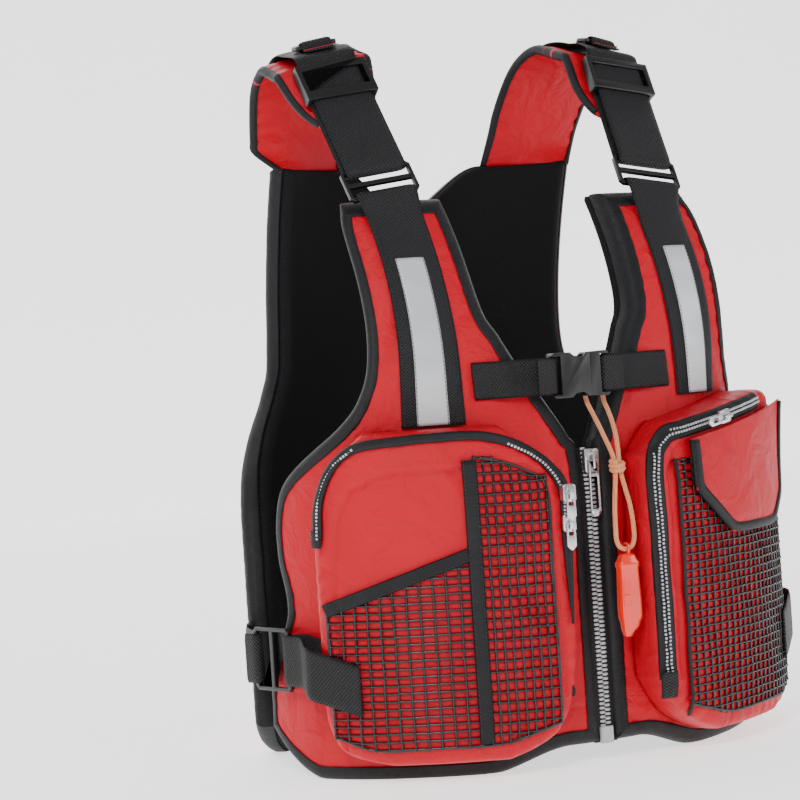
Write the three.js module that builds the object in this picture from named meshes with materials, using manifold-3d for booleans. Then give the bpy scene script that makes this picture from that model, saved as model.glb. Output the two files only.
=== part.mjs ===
// Life jacket: a red foam vest with a centre zip, a chest buckle, two front pockets,
// adjustable shoulder straps and side straps.
//
// Units are millimetres. +Z is up, the wearer faces -Y, the wearer's right is -X.
// The origin is under the middle of the whole vest, at the height of its hem.
//
// The vest is wrapped round a body form. A place on the form is (s, z, d): s is the
// distance round the vest from the middle of the front, positive to the wearer's left,
// z is the height and d is the distance out from the wearer.

import * as THREE from "three";
import { mergeVertices } from "three/addons/utils/BufferGeometryUtils.js";
import Module from "manifold-3d";

const wasm = await Module();
wasm.setup();

// ---------------------------------------------------------------- driving dimensions

const chestWidth = 364; // inside width of the worn vest
const chestDepth = 268; // inside depth of the worn vest
const sideRadius = 100; // plan radius of the form at the sides
const panelHeight = 430; // hem to the top edge of a front panel
const backHeight = 470; // hem to the top edge of the back at the shoulders
const neckDip = 40; // how much lower the back is at the neck
const panelThickness = 26; // cloth, foam and lining together
const clothThickness = 1.4;
const bindingWidth = 9;
const bindingThickness = 1.2;
const zipTop = 212; // height of the top of the closed centre zip
const zipBottom = 14;
const centreEdge = 8; // from the middle of the zip to the edge of a front panel
const neckEdge = 72; // from the middle to the inner edge of a front panel at its top
const armEdge = 172; // from the middle to the outer edge of a front panel at its top
const hipEdge = 283; // from the middle to the outer edge of a front panel at the hem
const backArmEdge = 150; // from the spine to the outer edge of the back at its top
const backHipEdge = 240; // from the spine to the outer edge of the back at the hem

const webbingWidth = 50;
const webbingThickness = 1.8;
const webbingLine = 120; // from the middle to the centre of the shoulder webbing
const tapeWidth = 25; // reflective tape
const tapeTop = panelHeight - 44; // height of the top end of the reflective tape
const sideWebbingWidth = 38;
const chestWebbingWidth = 28;
const chestStrapHeight = 291;
const chestStrapEnd = 86; // from the middle to the sewn end of a chest strap

const pocketDepthRight = 30;
const pocketDepthLeft = 35;
const pocketFoot = 14;
const pocketTop = 258;
const netThickness = 1.2;
const flapThickness = 2.5;

const loopHeight = panelHeight + 16; // height of the loop at the top of a front panel
const adjusterAlong = 95; // from that loop to the shoulder adjuster
const adjusterLength = 32;
const adjusterTravel = 50;
const shoulderPadWidth = 80;
const shoulderPadThickness = 11;
const loopRise = 8; // from the face of a panel to the plane of the loop at its top
const barThickness = 4; // of a moulded webbing loop
const cordDiameter = 3.6;

// Clearances
const layerGap = 0.3; // between the flat layers of a panel
const seatGap = 1.1; // between a curved panel and what is sewn on it
const bindingGap = 1.6; // between a panel and the tape round its border, which spans its curves
const wrapGap = 1; // between a bar and the webbing folded round it
const runGap = 0.6; // beside a piece that slides

// ---------------------------------------------------------------- the body form

const clamp = (t) => Math.min(1, Math.max(0, t));
const smooth = (t) => clamp(t) * clamp(t) * (3 - 2 * clamp(t));
const lerp = (a, b, t) => a + (b - a) * t;

const sideCentre = chestWidth / 2 - sideRadius;
const cornerDrop = chestDepth / 2 - sideRadius;
const frontCentre = (sideCentre ** 2 - cornerDrop ** 2) / (2 * cornerDrop);
const frontRadius = chestDepth / 2 + frontCentre;
const turnAngle = Math.atan2(sideCentre, frontCentre);
const frontArc = (frontRadius + panelThickness) * turnAngle;
const sideArc = (sideRadius + panelThickness) * (Math.PI - 2 * turnAngle);
const halfGirth = 2 * frontArc + sideArc;

// Above the chest line the front leans back and lies flatter; the back leans forward.
const chestLine = panelHeight - 130;
const frontLean = 116;
const backLean = 45;
const chestFlatness = 0.36;

function torso(s, z, d) {
  const a = Math.abs(s);
  const side = s < 0 ? -1 : 1;
  let angle = a / (frontRadius + panelThickness);
  let radius = frontRadius;
  let centre = [0, frontCentre];
  if (a > frontArc) {
    angle = turnAngle + (a - frontArc) / (sideRadius + panelThickness);
    radius = sideRadius;
    centre = [sideCentre, 0];
  }
  if (a > frontArc + sideArc) {
    angle = Math.PI - (halfGirth - a) / (frontRadius + panelThickness);
    radius = frontRadius;
    centre = [0, -frontCentre];
  }
  const x = centre[0] + (radius + d) * Math.sin(angle);
  const y = centre[1] - (radius + d) * Math.cos(angle);
  const front = smooth(Math.cos(angle) / 0.7);
  const back = smooth(-Math.cos(angle) / 0.7);
  const rise = Math.max(0, z - chestLine) / 200;
  const flatness = chestFlatness * smooth((z - chestLine + 110) / 190);
  const flat = flatness * (webbingLine - lerp(40, 180, clamp((a - 40) / 140)));
  const lean = front * (frontLean * rise ** 2 + flat) - back * backLean * rise ** 2;
  return new THREE.Vector3(side * x, y + lean, z);
}

// ---------------------------------------------------------------- geometry helpers

function bare(geometry) {
  geometry.deleteAttribute("normal");
  geometry.deleteAttribute("uv");
  const merged = mergeVertices(geometry, 1e-4);
  merged.clearGroups();
  return merged;
}

function volumeOf(geometry) {
  const p = geometry.attributes.position;
  const index = geometry.index.array;
  const [a, b, c] = [new THREE.Vector3(), new THREE.Vector3(), new THREE.Vector3()];
  let six = 0;
  for (let i = 0; i < index.length; i += 3) {
    a.fromBufferAttribute(p, index[i]);
    b.fromBufferAttribute(p, index[i + 1]);
    c.fromBufferAttribute(p, index[i + 2]);
    six += a.dot(b.cross(c));
  }
  return six / 6;
}

// Turns a mirrored shape the right way out.
function outward(geometry) {
  if (volumeOf(geometry) < 0) {
    const index = geometry.index.array;
    for (let i = 0; i < index.length; i += 3) {
      [index[i], index[i + 1]] = [index[i + 1], index[i]];
    }
  }
  return geometry;
}

function mapped(geometry, place) {
  const p = geometry.attributes.position;
  for (let i = 0; i < p.count; i += 1) {
    const v = place(p.getX(i), p.getY(i), p.getZ(i));
    p.setXYZ(i, v.x, v.y, v.z);
  }
  return outward(geometry);
}

// A slab whose corners run 0..1 in u, v and w, placed by a function.
// The quads of its far face are split on the same diagonals as those of its near face,
// so slabs that share a grid lie on each other without crossing.
function slab(nu, nv, place) {
  const box = new THREE.BoxGeometry(1, 1, 1, nu, nv, 1);
  const index = box.index.array;
  const far = box.groups[5];
  for (let i = far.start; i < far.start + far.count; i += 6) {
    const [a, b, d, , c] = index.subarray(i, i + 6);
    index.set([a, b, c, a, c, d], i);
  }
  return mapped(bare(box), (x, y, z) => place(x + 0.5, y + 0.5, z + 0.5));
}

// A strip through stations: each station is a function of (u, w), both -0.5 to 0.5.
function strip(stations, across = 3) {
  const steps = stations.length - 1;
  return slab(across, steps, (u, v, w) => stations[Math.round(v * steps)](u - 0.5, w - 0.5));
}

// A closed hoop: place(t, a, b), t runs round it, a and b are 0 or 1 at its four edges.
function hoop(steps, place) {
  const ring = bare(new THREE.TorusGeometry(2, 1, 4, steps));
  return mapped(ring, (x, y, z) => {
    const t = (Math.atan2(y, x) / (2 * Math.PI) + 1) % 1;
    const out = Math.hypot(x, y) - 2;
    const a = out > 0.5 || z > 0.5 ? 1 : 0;
    const b = out > 0.5 || z < -0.5 ? 1 : 0;
    return place(Math.round(t * steps) % steps, a, b);
  });
}

// A smooth line through [z, s] pairs, read as s at a height z.
function through(points) {
  const curve = new THREE.SplineCurve(points.map(([z, s]) => new THREE.Vector2(z, s)));
  const fine = curve.getPoints(points.length * 24);
  return (z) => {
    const i = fine.findIndex((p) => p.x >= z);
    if (i === -1) return fine.at(-1).y;
    if (i === 0) return fine[0].y;
    return lerp(fine[i - 1].y, fine[i].y, (z - fine[i - 1].x) / (fine[i].x - fine[i - 1].x));
  };
}

// A ribbon along a line of [s, z] points on the form, between two distances out.
function ribbon(points, width, inner, outer, steps) {
  const curve = new THREE.SplineCurve(points.map(([s, z]) => new THREE.Vector2(s, z)));
  const along = curve.getSpacedPoints(steps);
  return slab(2, steps, (u, v, w) => {
    const i = Math.round(v * steps);
    const run = along[Math.min(steps, i + 1)].clone().sub(along[Math.max(0, i - 1)]).normalize();
    const off = (u - 0.5) * width;
    return torso(along[i].x - run.y * off, along[i].y + run.x * off, lerp(inner, outer, w));
  });
}

function solid(geometry) {
  const merged = geometry.index ? geometry : bare(geometry);
  return new wasm.Manifold(
    new wasm.Mesh({
      numProp: 3,
      vertProperties: new Float32Array(merged.attributes.position.array),
      triVerts: new Uint32Array(merged.index.array),
    }),
  );
}

function geometryOf(manifold) {
  const mesh = manifold.getMesh();
  const geometry = new THREE.BufferGeometry();
  const positions = new Float32Array(mesh.vertProperties);
  geometry.setAttribute("position", new THREE.BufferAttribute(positions, 3));
  geometry.setIndex(new THREE.BufferAttribute(new Uint32Array(mesh.triVerts), 1));
  return geometry;
}

const block = (x0, x1, y0, y1, z0, z1) => {
  const box = bare(new THREE.BoxGeometry(x1 - x0, y1 - y0, z1 - z0));
  return solid(box.translate((x0 + x1) / 2, (y0 + y1) / 2, (z0 + z1) / 2));
};

const joined = (...solids) => solids.reduce((sum, next) => sum.add(next));

function outline(points) {
  return new THREE.Shape(points.map(([x, y]) => new THREE.Vector2(x, y)));
}

// A flat plate: an outline in x and y with holes, z from low to high.
function plate(points, holes, low, high) {
  const raised = (shape, z0, z1) => {
    const geometry = new THREE.ExtrudeGeometry(outline(shape), { depth: z1 - z0, bevelEnabled: false });
    return solid(bare(geometry.translate(0, 0, z0)));
  };
  const cut = (sum, hole) => sum.subtract(raised(hole, low - 1, high + 1));
  return holes.reduce(cut, raised(points, low, high));
}

const rectangle = (x0, x1, y0, y1) => [[x0, y0], [x1, y0], [x1, y1], [x0, y1]];

// A rectangle with cut corners.
const cutRectangle = (x, y, cut) => [
  [-x + cut, -y], [x - cut, -y], [x, -y + cut], [x, y - cut],
  [x - cut, y], [-x + cut, y], [-x, y - cut], [-x, -y + cut],
];

// A right-handed frame: x across, y along, z out of the surface.
function frameOf(origin, across, along) {
  const y = along.clone().normalize();
  const x = across.clone().addScaledVector(y, -across.dot(y)).normalize();
  const z = new THREE.Vector3().crossVectors(x, y);
  return new THREE.Matrix4().makeBasis(x, y, z).setPosition(origin);
}

const inFrame = (frame, x, y, z) => new THREE.Vector3(x, y, z).applyMatrix4(frame);

function frameOnForm(s, z, d, slope = 0) {
  const origin = torso(s, z, d);
  const run = torso(s + 1, z + slope, d).sub(torso(s - 1, z - slope, d)).normalize();
  return frameOf(origin, run, new THREE.Vector3(0, 0, 1));
}

// ---------------------------------------------------------------- materials and the vest

const finish = (color, roughness, metalness = 0) => ({ color, roughness, metalness });
const finishes = {
  redCloth: finish(0xc8102a, 0.5),
  foam: finish(0xe6e4dc, 0.9),
  lining: finish(0x1a1a1c, 0.8),
  binding: finish(0x202124, 0.6),
  webbing: finish(0x151517, 0.8),
  tape: finish(0xb9bcc0, 0.35, 0.2),
  net: finish(0x101012, 0.6),
  plastic: finish(0x141416, 0.35),
  zipTape: finish(0x1d1d20, 0.7),
  metal: finish(0xc9ccd0, 0.3, 0.9),
  whistle: finish(0xf0441a, 0.25),
  cord: finish(0xf08a4b, 0.7),
};

const vest = new THREE.Group();

function add(name, geometry, kind, frame = null) {
  const mesh = new THREE.Mesh(
    geometry.isBufferGeometry ? geometry : geometryOf(geometry),
    new THREE.MeshStandardMaterial(finishes[kind]),
  );
  mesh.name = name;
  if (frame) {
    frame.decompose(mesh.position, mesh.quaternion, mesh.scale);
  }
  vest.add(mesh);
}

const T = panelThickness;
const sides = [["right", -1], ["left", 1]];

// ---------------------------------------------------------------- the panels

const innerEdge = through([
  [0, centreEdge], [zipTop, centreEdge], [zipTop + 24, centreEdge + 4], [zipTop + 46, centreEdge + 13],
  [zipTop + 66, centreEdge + 24], [zipTop + 84, centreEdge + 37], [zipTop + 108, neckEdge - 14],
  [zipTop + 134, neckEdge - 3], [panelHeight, neckEdge + 2],
]);
const outerEdge = through([
  [0, hipEdge], [40, hipEdge - 2], [58, hipEdge - 9], [97, hipEdge - 30], [143, hipEdge - 23],
  [177, hipEdge - 24], [207, hipEdge - 37], [247, armEdge + 25], [273, armEdge + 7], [309, armEdge],
  [panelHeight - 30, armEdge], [panelHeight, armEdge - 7],
]);
const backEdge = through([
  [0, backHipEdge], [160, backHipEdge], [200, backHipEdge - 12], [240, backArmEdge + 45],
  [280, backArmEdge + 12], [320, backArmEdge], [backHeight, backArmEdge],
]);
const spineGap = 0.4;

// The hem is flat where the vest stands and rises at its corners.
const frontHem = (s) => 16 * smooth((100 - s) / 70) + 36 * clamp((s - 225) / (hipEdge - 225)) ** 1.5;
const backHem = (b) => 30 * clamp((b - 180) / (backHipEdge - 180)) ** 1.5;

function frontPanel(side) {
  return (u, v, d) => {
    const level = v * panelHeight;
    const s = lerp(innerEdge(level), outerEdge(level), u);
    const hem = frontHem(lerp(centreEdge, hipEdge, u));
    return { s: side * s, z: lerp(hem, panelHeight, v), d };
  };
}

function backPanel(side) {
  return (u, v, d) => {
    const b = lerp(spineGap, backEdge(v * backHeight), u);
    const top = backHeight - neckDip * (1 - smooth(b / 70));
    return { s: side * (halfGirth - b), z: lerp(backHem(lerp(0, backHipEdge, u)), top, v), d };
  };
}

const onForm = ({ s, z, d }) => torso(s, z, d);
const layers = [
  ["lining", 0, clothThickness, "lining"],
  ["foam", clothThickness + layerGap, T - clothThickness - layerGap, "foam"],
  ["shell", T - clothThickness, T, "redCloth"],
];

function panelLayers(where, sideName, panel, nu, nv) {
  layers.forEach(([layer, low, high, kind]) => {
    const geometry = slab(nu, nv, (u, v, w) => onForm(panel(u, v, lerp(low, high, w))));
    add(`${where}_${layer}_${sideName}`, geometry, kind);
  });
}

const across = 10;
const up = 14;

// Edge binding: a hoop of tape over the border of a front panel.
function edgeBinding(panel) {
  const corners = [];
  for (let i = 0; i < across; i += 1) corners.push([i / across, 0]);
  for (let i = 0; i < up; i += 1) corners.push([1, i / up]);
  for (let i = across; i > 0; i -= 1) corners.push([i / across, 1]);
  for (let i = up; i > 0; i -= 1) corners.push([0, i / up]);
  const border = corners.map(([u, v]) => {
    const { s, z } = panel(u, v, T);
    return new THREE.Vector2(s, z);
  });
  const turn = Math.sign(THREE.ShapeUtils.area(border));
  return hoop(border.length, (i, a, b) => {
    const before = border[(i + border.length - 1) % border.length];
    const after = border[(i + 1) % border.length];
    const run = after.clone().sub(before).normalize();
    const inward = new THREE.Vector2(-run.y, run.x).multiplyScalar(turn * bindingWidth * a);
    const p = border[i].clone().add(inward);
    return torso(p.x, p.y, T + bindingGap + bindingThickness * b);
  });
}

sides.forEach(([name, side]) => {
  panelLayers("front", name, frontPanel(side), across, up);
  panelLayers("back", name, backPanel(side), 8, up);
  add(`front_binding_${name}`, edgeBinding(frontPanel(side)), "binding");
});

// ---------------------------------------------------------------- the shoulders

const zipSlope = 0.18; // the top of the left pocket rises to the side
const leftTopAtCorner = 252;
const leftTop = (s) => leftTopAtCorner + zipSlope * (Math.min(150, Math.max(s, 60)) - 60);
const webbingFoot = (side) =>
  seatGap + 1 + (side < 0 ? pocketTop : leftTop(webbingLine + webbingWidth / 2));
const foldRadius = barThickness / 2 + wrapGap; // inside radius of webbing round a bar
const runCentre = foldRadius + webbingThickness / 2; // a webbing run from its bar's plane
const loopBar = 12.2; // from the middle of a loop to the middle of its outer bars
const shoulderTilt = THREE.MathUtils.degToRad(12);

// The frame of the shoulder line: x across, y up the strap, z outwards.
function shoulderFrame(side) {
  const origin = torso(side * webbingLine, loopHeight, T + loopRise);
  const along = new THREE.Vector3(side * 9, 52.5, 85);
  const over = new THREE.Vector3(Math.cos(shoulderTilt), 0, -side * Math.sin(shoulderTilt));
  return frameOf(origin, over, along);
}

// Stations that fold a strip round a bar, in the x = across frame given.
// start and end are angles in the (along, out) plane, measured from +out.
function foldStations(frame, width, barAlong, start, end, count) {
  return Array.from({ length: count + 1 }, (_, i) => {
    const angle = lerp(start, end, i / count);
    return (u, w) => {
      const r = runCentre + w * webbingThickness * Math.sign(end - start);
      return inFrame(frame, u * width, barAlong + r * Math.sin(angle), r * Math.cos(angle));
    };
  });
}

function webbingLoop(halfWidth, halfLength) {
  const slot = halfWidth - 2.6;
  return plate(
    cutRectangle(halfWidth, halfLength, 3),
    [rectangle(-slot, slot, -halfLength + 3.6, -1.8), rectangle(-slot, slot, 1.8, halfLength - 3.6)],
    -barThickness / 2,
    barThickness / 2,
  );
}

// The webbing sewn up a front panel from its pocket, folded over the lower bar of the loop.
function panelWebbing(side, frame) {
  const foot = webbingFoot(side);
  const heights = [0, 0.2, 0.4, 0.6, 0.8, 1, 1.15].map((t) => lerp(foot, tapeTop, t));
  const flat = heights.map((z) => (u, w) =>
    torso(side * (webbingLine + side * u * webbingWidth), z, T + seatGap + webbingThickness * (w + 0.5)));
  const overBinding = T + bindingGap + bindingThickness + seatGap;
  flat.push((u, w) =>
    torso(side * (webbingLine + side * u * webbingWidth), panelHeight - bindingWidth - 2,
      overBinding + webbingThickness * (w + 0.5)));
  const fold = foldStations(frame, webbingWidth, -loopBar, 0, 0.7 * Math.PI, 5);
  return strip([...flat, ...fold], 4);
}

// The shoulder adjuster: two end bars over the webbing and a middle bar under it.
function adjuster() {
  const halfWidth = webbingWidth / 2 + runGap + 4;
  const halfLength = adjusterLength / 2;
  const outer = runCentre + webbingThickness / 2 + runGap;
  const inner = runCentre - webbingThickness / 2 - runGap;
  const rail = (x) => block(x - 2, x + 2, -halfLength, halfLength, -1.6, outer + 2.5);
  const railX = halfWidth - 2;
  return joined(
    rail(-railX),
    rail(railX),
    block(-railX, railX, halfLength - 6, halfLength, outer, outer + 2.5),
    block(-railX, railX, -halfLength, -halfLength + 8, outer, outer + 2.5),
    block(-railX, railX, -3, 3, -1.6, inner),
  );
}

// The line of the strap over the shoulder, from the top of its straight front run.
const crownPoints = [
  [128, 8, 127], [125, 38, 131], [121, 68, 118], [115.5, 89, 90], [111.5, 99, 66],
].map(([x, y, rise]) => [x, y, panelHeight + rise]);
const backStrapLine = 112; // from the spine to the centre of the strap on the back
const backStrapHeights = [5, -20, -45, -68, -90].map((drop) => backHeight + drop);
const straightTop = 122; // length of the straight front run above the loop

function crownCurve(side, frame) {
  const start = inFrame(frame, 0, straightTop, runCentre);
  const below = inFrame(frame, 0, straightTop - 20, runCentre);
  const points = crownPoints.map(([x, y, z]) => new THREE.Vector3(side * x, y, z));
  const seat = T + seatGap + webbingThickness / 2;
  const end = torso(side * (halfGirth - backStrapLine), backStrapHeights[0], seat);
  const curve = new THREE.CatmullRomCurve3([below, start, ...points, end]);
  const over = new THREE.Vector3(Math.cos(shoulderTilt), 0, -side * Math.sin(shoulderTilt));
  return (t) => {
    return frameOf(curve.getPoint(t), over, curve.getTangent(t));
  };
}

function shoulderStrap(side, frame) {
  const run = (y, sign) => (u, w) =>
    inFrame(frame, u * webbingWidth, y, sign * (runCentre + w * webbingThickness));
  const under = [adjusterAlong + 3, 75, 45].map((y) => run(y, -1));
  const fold = foldStations(frame, webbingWidth, loopBar, -Math.PI, -2 * Math.PI, 6)
    .map((station) => (u, w) => station(u, -w));
  const over = [45, 82, adjusterAlong + adjusterLength / 2 + 3].map((y) => run(y, 1));
  const crown = crownCurve(side, frame);
  const steps = [0.14, 0.22, 0.3, 0.38, 0.46, 0.54, 0.62, 0.7, 0.78, 0.86, 0.92];
  const top = steps.map((t) => (u, w) => inFrame(crown(t), u * webbingWidth, 0, w * webbingThickness));
  const down = backStrapHeights.map((z) => (u, w) =>
    torso(side * (halfGirth - backStrapLine - side * u * webbingWidth), z,
      T + seatGap + webbingThickness * (w + 0.5)));
  return strip([...under, ...fold, ...over, ...top, ...down], 3);
}

// The padded sleeve under the strap, from below the adjuster to the top of the back.
function shoulderPad(side, frame) {
  const half = shoulderPadThickness / 2;
  const low = runCentre + webbingThickness / 2 + seatGap + half; // under the lower run
  const near = webbingThickness / 2 + seatGap + 1.6 + half; // under a single run
  const front = [[adjusterAlong - 32, 0.45], [adjusterAlong - 22, 0.72], [adjusterAlong - 4, 0.86]];
  const first = front.map(([y, size]) => (u, w) =>
    inFrame(frame, u * shoulderPadWidth * size, y, -low + w * shoulderPadThickness));
  const crown = crownCurve(side, frame);
  const steps = [0.16, 0.26, 0.36, 0.46, 0.56, 0.66, 0.76, 0.86];
  const top = steps.map((t, i) => (u, w) => {
    const depth = lerp(low + runCentre, near, smooth((i + 0.4) / 3));
    return inFrame(crown(t), u * shoulderPadWidth, 0, -depth + w * shoulderPadThickness);
  });
  const seat = (u, w) =>
    torso(side * (halfGirth - backStrapLine - side * u * shoulderPadWidth), backHeight + layerGap,
      T / 2 + w * shoulderPadThickness);
  return strip([...first, ...top, seat], 4);
}

// The D-ring: half an octagon on a straight bar that lies in a sewn tab.
const ringHalf = 17;
const ringBar = 4;
const ringThickness = 3.5;
const tabWidth = 25;
const ringAxis = webbingThickness / 2 + ringBar / 2 + wrapGap + webbingThickness - 1;

function dRing() {
  const bar = ringBar / 2;
  const rim = [[-ringHalf, -bar], [ringHalf, -bar], [ringHalf, 10], [9, 22], [-9, 22], [-ringHalf, 10]];
  const inside = ringHalf - 4;
  const hole = [[-inside, bar], [inside, bar], [inside, 8.5], [7.4, 18], [-7.4, 18], [-inside, 8.5]];
  return plate(rim, [hole], -ringThickness / 2, ringThickness / 2);
}

// The tab: an arch of webbing over the bar, sewn down on both sides of it.
function ringTab() {
  const inside = 2.9;
  const outside = inside + webbingThickness;
  const arch = (r) => Array.from({ length: 9 }, (_, i) => {
    const angle = Math.PI * (i / 8);
    return [r * Math.cos(angle), ringAxis + r * Math.sin(angle)];
  });
  const profile = [
    [inside + 0.2, 0], [outside + 1, 0], ...arch(outside), [-outside, 2.2], [-outside - 8, 1.6],
    [-outside - 8, 0], [-inside, 0], ...arch(inside).reverse(),
  ];
  const geometry = new THREE.ExtrudeGeometry(outline(profile), { depth: tabWidth, bevelEnabled: false });
  const turned = geometry.translate(0, 0, -tabWidth / 2).rotateY(Math.PI / 2).rotateX(Math.PI / 2);
  return solid(bare(turned));
}

const ringPlace = 0.235; // where the tab sits along the crown of the strap

sides.forEach(([name, side]) => {
  const frame = shoulderFrame(side);
  const crown = crownCurve(side, frame)(ringPlace);
  add(`lower_loop_${name}`, webbingLoop(webbingWidth / 2 + 4, 14), "plastic", frame);
  add(`panel_webbing_${name}`, panelWebbing(side, frame), "webbing");
  const adjusterFrame = frame.clone().multiply(new THREE.Matrix4().makeTranslation(0, adjusterAlong, 0));
  add(`shoulder_adjuster_${name}`, adjuster(), "plastic", adjusterFrame);
  const tab = solid(outward(geometryOf(ringTab()).applyMatrix4(crown)));
  const strap = solid(shoulderStrap(side, frame)).add(tab);
  add(`shoulder_strap_${name}`, strap, "webbing");
  add(`shoulder_pad_${name}`, shoulderPad(side, frame), "redCloth");
  const ringFrame = crown.clone().multiply(new THREE.Matrix4().makeTranslation(0, 0, ringAxis));
  add(`d_ring_${name}`, dRing(), "plastic", ringFrame);

  // Reflective tape down the middle of the panel webbing.
  const low = T + seatGap + webbingThickness + 0.5;
  const foot = webbingFoot(side);
  const heights = [0.03, 0.2, 0.4, 0.6, 0.8, 1].map((t) => lerp(foot, tapeTop, t));
  const tapeStations = heights.map((z) => (u, w) =>
    torso(side * (webbingLine + side * u * tapeWidth), z, low + 0.8 * (w + 0.5)));
  add(`reflective_tape_${name}`, strip(tapeStations, 2), "tape");
});

// ---------------------------------------------------------------- zips

// A slider for a coil or tooth zip, in the frame x across, y along the zip, z out.
// Its crown is an arch along the zip; the bar of the pull lies under the arch.
function sliderBody(halfWidth, halfLength, low, high) {
  const reach = 0.66 * halfLength;
  const rise = 2.6; // free height under the arch
  return joined(
    plate(cutRectangle(halfWidth, halfLength, 1.5), [], low, high),
    block(-1.2, 1.2, -reach, -reach + 1.6, high - 0.4, high + rise + 1.4),
    block(-1.2, 1.2, reach - 1.6, reach, high - 0.4, high + rise + 1.4),
    block(-1.2, 1.2, -reach, reach, high + rise, high + rise + 1.4),
  );
}

// A pull, hanging towards -y from its bar at the origin.
function pullTab(length, halfWidth) {
  const thickness = 1.5;
  const slot = 1.9;
  const eye = rectangle(-slot, slot, -9, -0.8);
  const tip = length - 6;
  const window = rectangle(-halfWidth + 1.8, halfWidth - 1.8, -tip, -12);
  const edge = [[-halfWidth, 0.8], [-halfWidth, -length + 3], [-halfWidth + 3, -length],
    [halfWidth - 3, -length], [halfWidth, -length + 3], [halfWidth, 0.8]];
  return plate(edge, length > 20 ? [eye, window] : [eye], -thickness / 2, thickness / 2);
}

const pullRise = 1.3; // from the top of a slider to the bar of its pull

function addSlider(sliderName, pullName, frame, size) {
  const { halfWidth, halfLength, low, high, length, pullHalf } = size;
  add(sliderName, sliderBody(halfWidth, halfLength, low, high), "metal", frame);
  const bar = frame.clone().multiply(new THREE.Matrix4().makeTranslation(0, 0, high + pullRise));
  add(pullName, pullTab(length, pullHalf), "metal", bar);
}

// The centre zip: half of the chain on each front panel.
const toothHalf = 4;
const toothFront = -1.6; // from the face of the panels
const toothBack = -7.4;

function chain(side, top) {
  const edge = centreEdge - seatGap / 2 - 0.3;
  const span = (x0, x1) => (side < 0 ? [-x1, -x0] : [x0, x1]);
  const tape = block(...span(layerGap, edge), zipBottom, top, -6, -3.6);
  const teeth = block(...span(layerGap, toothHalf), zipBottom, top, toothBack, toothFront);
  return tape.add(teeth);
}

const zipFrame = frameOf(torso(0, 0, T), new THREE.Vector3(1, 0, 0), new THREE.Vector3(0, 0, 1));
const sliderTop = 24; // how far the right half of the chain runs past the left half
add("zip_tape_right", chain(-1, zipTop + sliderTop), "zipTape", zipFrame);
add("zip_tape_left", chain(1, zipTop), "zipTape", zipFrame);

const zipSliderFrame = zipFrame.clone().multiply(new THREE.Matrix4().makeTranslation(0, zipTop + 14, 0));
const zipSlider = {
  halfWidth: 6.2, halfLength: 9, low: toothFront + 0.4, high: 1.4, length: 42, pullHalf: 4.5,
};
const zipSliderBody = joined(
  sliderBody(zipSlider.halfWidth, zipSlider.halfLength, zipSlider.low, zipSlider.high),
  block(-zipSlider.halfWidth, -toothHalf - 0.4, -7.5, 7.5, -3.2, zipSlider.low + 0.4),
);
add("zip_slider", zipSliderBody, "metal", zipSliderFrame);
const zipPullFrame = zipSliderFrame.clone()
  .multiply(new THREE.Matrix4().makeTranslation(0, 0, zipSlider.high + pullRise));
add("zip_pull", pullTab(zipSlider.length, zipSlider.pullHalf), "metal", zipPullFrame);

// ---------------------------------------------------------------- the right pocket

const faceRight = T + pocketDepthRight;
const faceLeft = T + pocketDepthLeft;

// Rows of the pockets, closer together where their corners are rounded.
const pocketRows = [0, 0.03, 0.08, 0.16, 0.28, 0.42, 0.56, 0.7, 0.82, 0.9, 0.96, 1];

function pocketBody(side, inner, outer, top, face) {
  return slab(8, pocketRows.length - 1, (u, v, w) => {
    const row = pocketRows[Math.round(v * (pocketRows.length - 1))];
    const level = lerp(pocketFoot, pocketTop, row);
    const s = lerp(inner(level), outer(level), u);
    const z = lerp(pocketFoot, top(s), row);
    return torso(side * s, z, lerp(T + seatGap, face, w));
  });
}

const pocketInner = 31;
const pocketOuter = 206;
const rightInner = through([
  [pocketFoot, pocketInner + 52], [22, pocketInner + 32], [34, pocketInner + 16], [62, pocketInner + 5],
  [110, pocketInner], [212, pocketInner], [226, pocketInner + 8], [240, pocketInner + 20],
  [pocketTop, pocketInner + 44],
]);
const pocketSide = through([
  [pocketFoot, pocketOuter - 46], [22, pocketOuter - 16], [38, pocketOuter - 4], [70, pocketOuter],
  [190, pocketOuter], [215, pocketOuter - 4], [238, pocketOuter - 13], [pocketTop, pocketOuter - 34],
]);
add("pocket_right", pocketBody(-1, rightInner, pocketSide, () => pocketTop, faceRight), "redCloth");

// The net of the right pocket: a tall field beside a low one with a slanted top.
const netStops = [pocketInner + 17, 64, 80, 96, 102, 126, 150, 174, pocketOuter - 8];
const netTopRight = (s) => (s < 100 ? 236 - 16 * smooth((86 - s) / 30) : lerp(168, 132, (s - 102) / 97));
const netFoot = (s) => 27 + 12 * smooth((90 - s) / 45) + 10 * smooth((s - 170) / 30);
add("pocket_net_right", slab(8, 6, (u, v, w) => {
  const s = netStops[Math.round(u * 8)];
  return torso(-s, lerp(netFoot(s), netTopRight(s), v), faceRight + seatGap + netThickness * w);
}), "net");

const zipRibbonWidth = 9;
const zipRibbonHeight = 3;
const zipLine = pocketInner + 5.5; // the straight inner run of the right pocket's zip
const rightZip = [
  [pocketOuter - 5, 184], [pocketOuter - 7, 213], [pocketOuter - 16, 236], [pocketOuter - 30, 248],
  [142, 252], [116, 253], [90, 252], [70, 246], [54, 236], [43, 224], [zipLine, 208], [zipLine, 180],
  [zipLine, 145],
  [zipLine, 110],
].map(([s, z]) => [-s, z]);
const zipSeat = seatGap - 0.3; // from the face of a pocket to its zip
const pocketZip = (line, face, steps) =>
  ribbon(line, zipRibbonWidth, face + zipSeat, face + zipSeat + zipRibbonHeight, steps);
add("pocket_zip_right", pocketZip(rightZip, faceRight, 30), "zipTape");

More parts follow.
